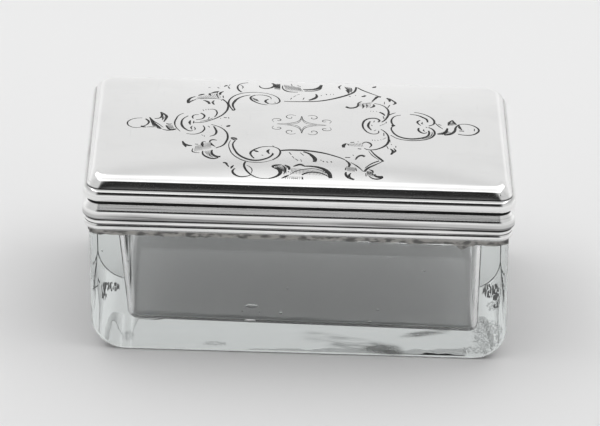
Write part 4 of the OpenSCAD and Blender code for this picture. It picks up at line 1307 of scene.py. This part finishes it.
def tent_light(world, studio):
    """A bright tent with a soft dark opening in front, where the camera stands. Angles are in degrees."""
    shader = Shader(world.node_tree)
    _, y, z = shader.split(shader.node("ShaderNodeTexCoord", out="Generated"))
    elevation = z.math("ARCSINE") * math.degrees(1)
    flat = (1 - z * z).math("MAXIMUM", 1e-6).math("SQRT")       # the direction's length, seen from above
    back = y.math("DIVIDE", flat)               # 1 behind the box, 0 beside it and -1 at the camera
    # The overhead panel starts lower behind the box than in front, and is dimmer straight above
    front_edge, back_edge = math.degrees(studio.panel_front), math.degrees(studio.panel_back)
    edge = front_edge - back.smooth(0.2, 0.9) * (front_edge - back_edge)
    panel = (elevation - edge).smooth(-2.2, 5)
    overhead = panel * (1.4 - elevation.smooth(64, 72) * 0.4)
    # Under the panel the tent is dark in front, paler at the sides, and grey behind
    opening = elevation.smooth(27, 9) * 0.14 + 0.015
    low_light = back.smooth(-0.97, -0.80) * 0.60 + back.smooth(0.0, 0.6) * 0.18 + opening
    low_light = low_light * (1 - back.smooth(0.3, 0.7) * elevation.smooth(32.2, 33.2) * 0.22)
    # A bright horizon in front, and lamps at both sides, which light through glass sees brighter
    horizon = elevation.smooth(13, 1) * back.smooth(0.2, -0.1) * 0.9
    through_glass = shader.node("ShaderNodeLightPath", out="Is Transmission Ray")
    side = back.near(0.0, 0.85) * elevation.near(58, 6) * (through_glass * 14 + 5)
    bright = low_light.math("MAXIMUM", horizon) * (1 - panel) + overhead + side
    background = shader.node("ShaderNodeBackground", None, {"Color": bright, "Strength": studio.tent})
    shader.node("ShaderNodeOutputWorld", None, {"Surface": background})


class GLASSBOX_OT_studio(bpy.types.Operator):
    """Set the box on pale paper in a light tent and aim the camera"""
    bl_idname = "glassbox.studio"
    bl_label = "Studio"

    def execute(self, context):
        studio = settings("studio")
        bm = bmesh.new()
        under = Matrix.Translation((0, 0, -FLOOR_GAP))
        bmesh.ops.create_circle(bm, cap_ends=True, segments=96, radius=FLOOR_RADIUS, matrix=under)
        bmesh.ops.reverse_faces(bm, faces=bm.faces)
        mesh = bpy.data.meshes.new("paper_floor")
        bm.to_mesh(mesh)
        bm.free()
        mesh.materials.append(material("paper_floor"))
        floor = bpy.data.objects.new("paper_floor", mesh)
        context.scene.collection.objects.link(floor)

        world = bpy.data.worlds.new("light_tent")
        world.use_nodes = True
        context.scene.world = world
        tent_light(world, studio)
        context.scene.view_settings.view_transform = "Standard"
        self.add_camera(context.scene, studio)
        return {"FINISHED"}

    def add_camera(self, scene, studio):
        """A long lens that looks down on the front of the box."""
        e, a = studio.elevation, studio.azimuth
        back = Vector((math.sin(a) * math.cos(e), -math.cos(a) * math.cos(e), math.sin(e)))
        right = Vector((0, 0, 1)).cross(back).normalized()
        turned = Matrix((right, back.cross(right), back)).transposed().to_4x4()
        data = bpy.data.cameras.new("camera")
        data.lens, data.sensor_width = studio.lens, SENSOR
        camera = bpy.data.objects.new("camera", data)
        roll = Matrix.Rotation(studio.roll, 4, "Z")
        camera.matrix_world = Matrix.Translation(Vector(AIM) + back * studio.distance) @ turned @ roll
        scene.collection.objects.link(camera)
        scene.camera = camera


class GLASSBOX_PT_pieces(bpy.types.Panel):
    """Lists the steps that build the box"""
    bl_idname = "GLASSBOX_PT_pieces"
    bl_label = "Glass Box"
    bl_space_type = "VIEW_3D"
    bl_region_type = "UI"
    bl_category = "Glass Box"

    def draw(self, context):
        for operator in OPERATORS:
            self.layout.operator(operator.bl_idname)


GROUPS = {
    "plan": BoxSizes, "glass": GlassSizes, "collar": CollarSizes, "lid": LidSizes, "hinge": HingeSizes,
    "finish": FinishTones, "studio": StudioSettings,
}
OPERATORS = (
    GLASSBOX_OT_studio, GLASSBOX_OT_glass, GLASSBOX_OT_plaster, GLASSBOX_OT_collar, GLASSBOX_OT_lid,
    GLASSBOX_OT_engraving, GLASSBOX_OT_hinge,
)


def register():
    for cls in (*GROUPS.values(), *OPERATORS, GLASSBOX_PT_pieces):
        bpy.utils.register_class(cls)
    for name, group in GROUPS.items():
        setattr(bpy.types.Scene, "glass_box_" + name, PointerProperty(type=group))


def unregister():
    for name in GROUPS:
        delattr(bpy.types.Scene, "glass_box_" + name)
    for cls in reversed((*GROUPS.values(), *OPERATORS, GLASSBOX_PT_pieces)):
        bpy.utils.unregister_class(cls)


def main():
    register()
    for operator in OPERATORS:
        group, name = operator.bl_idname.split(".")
        getattr(getattr(bpy.ops, group), name)()


if __name__ == "__main__":
    main()
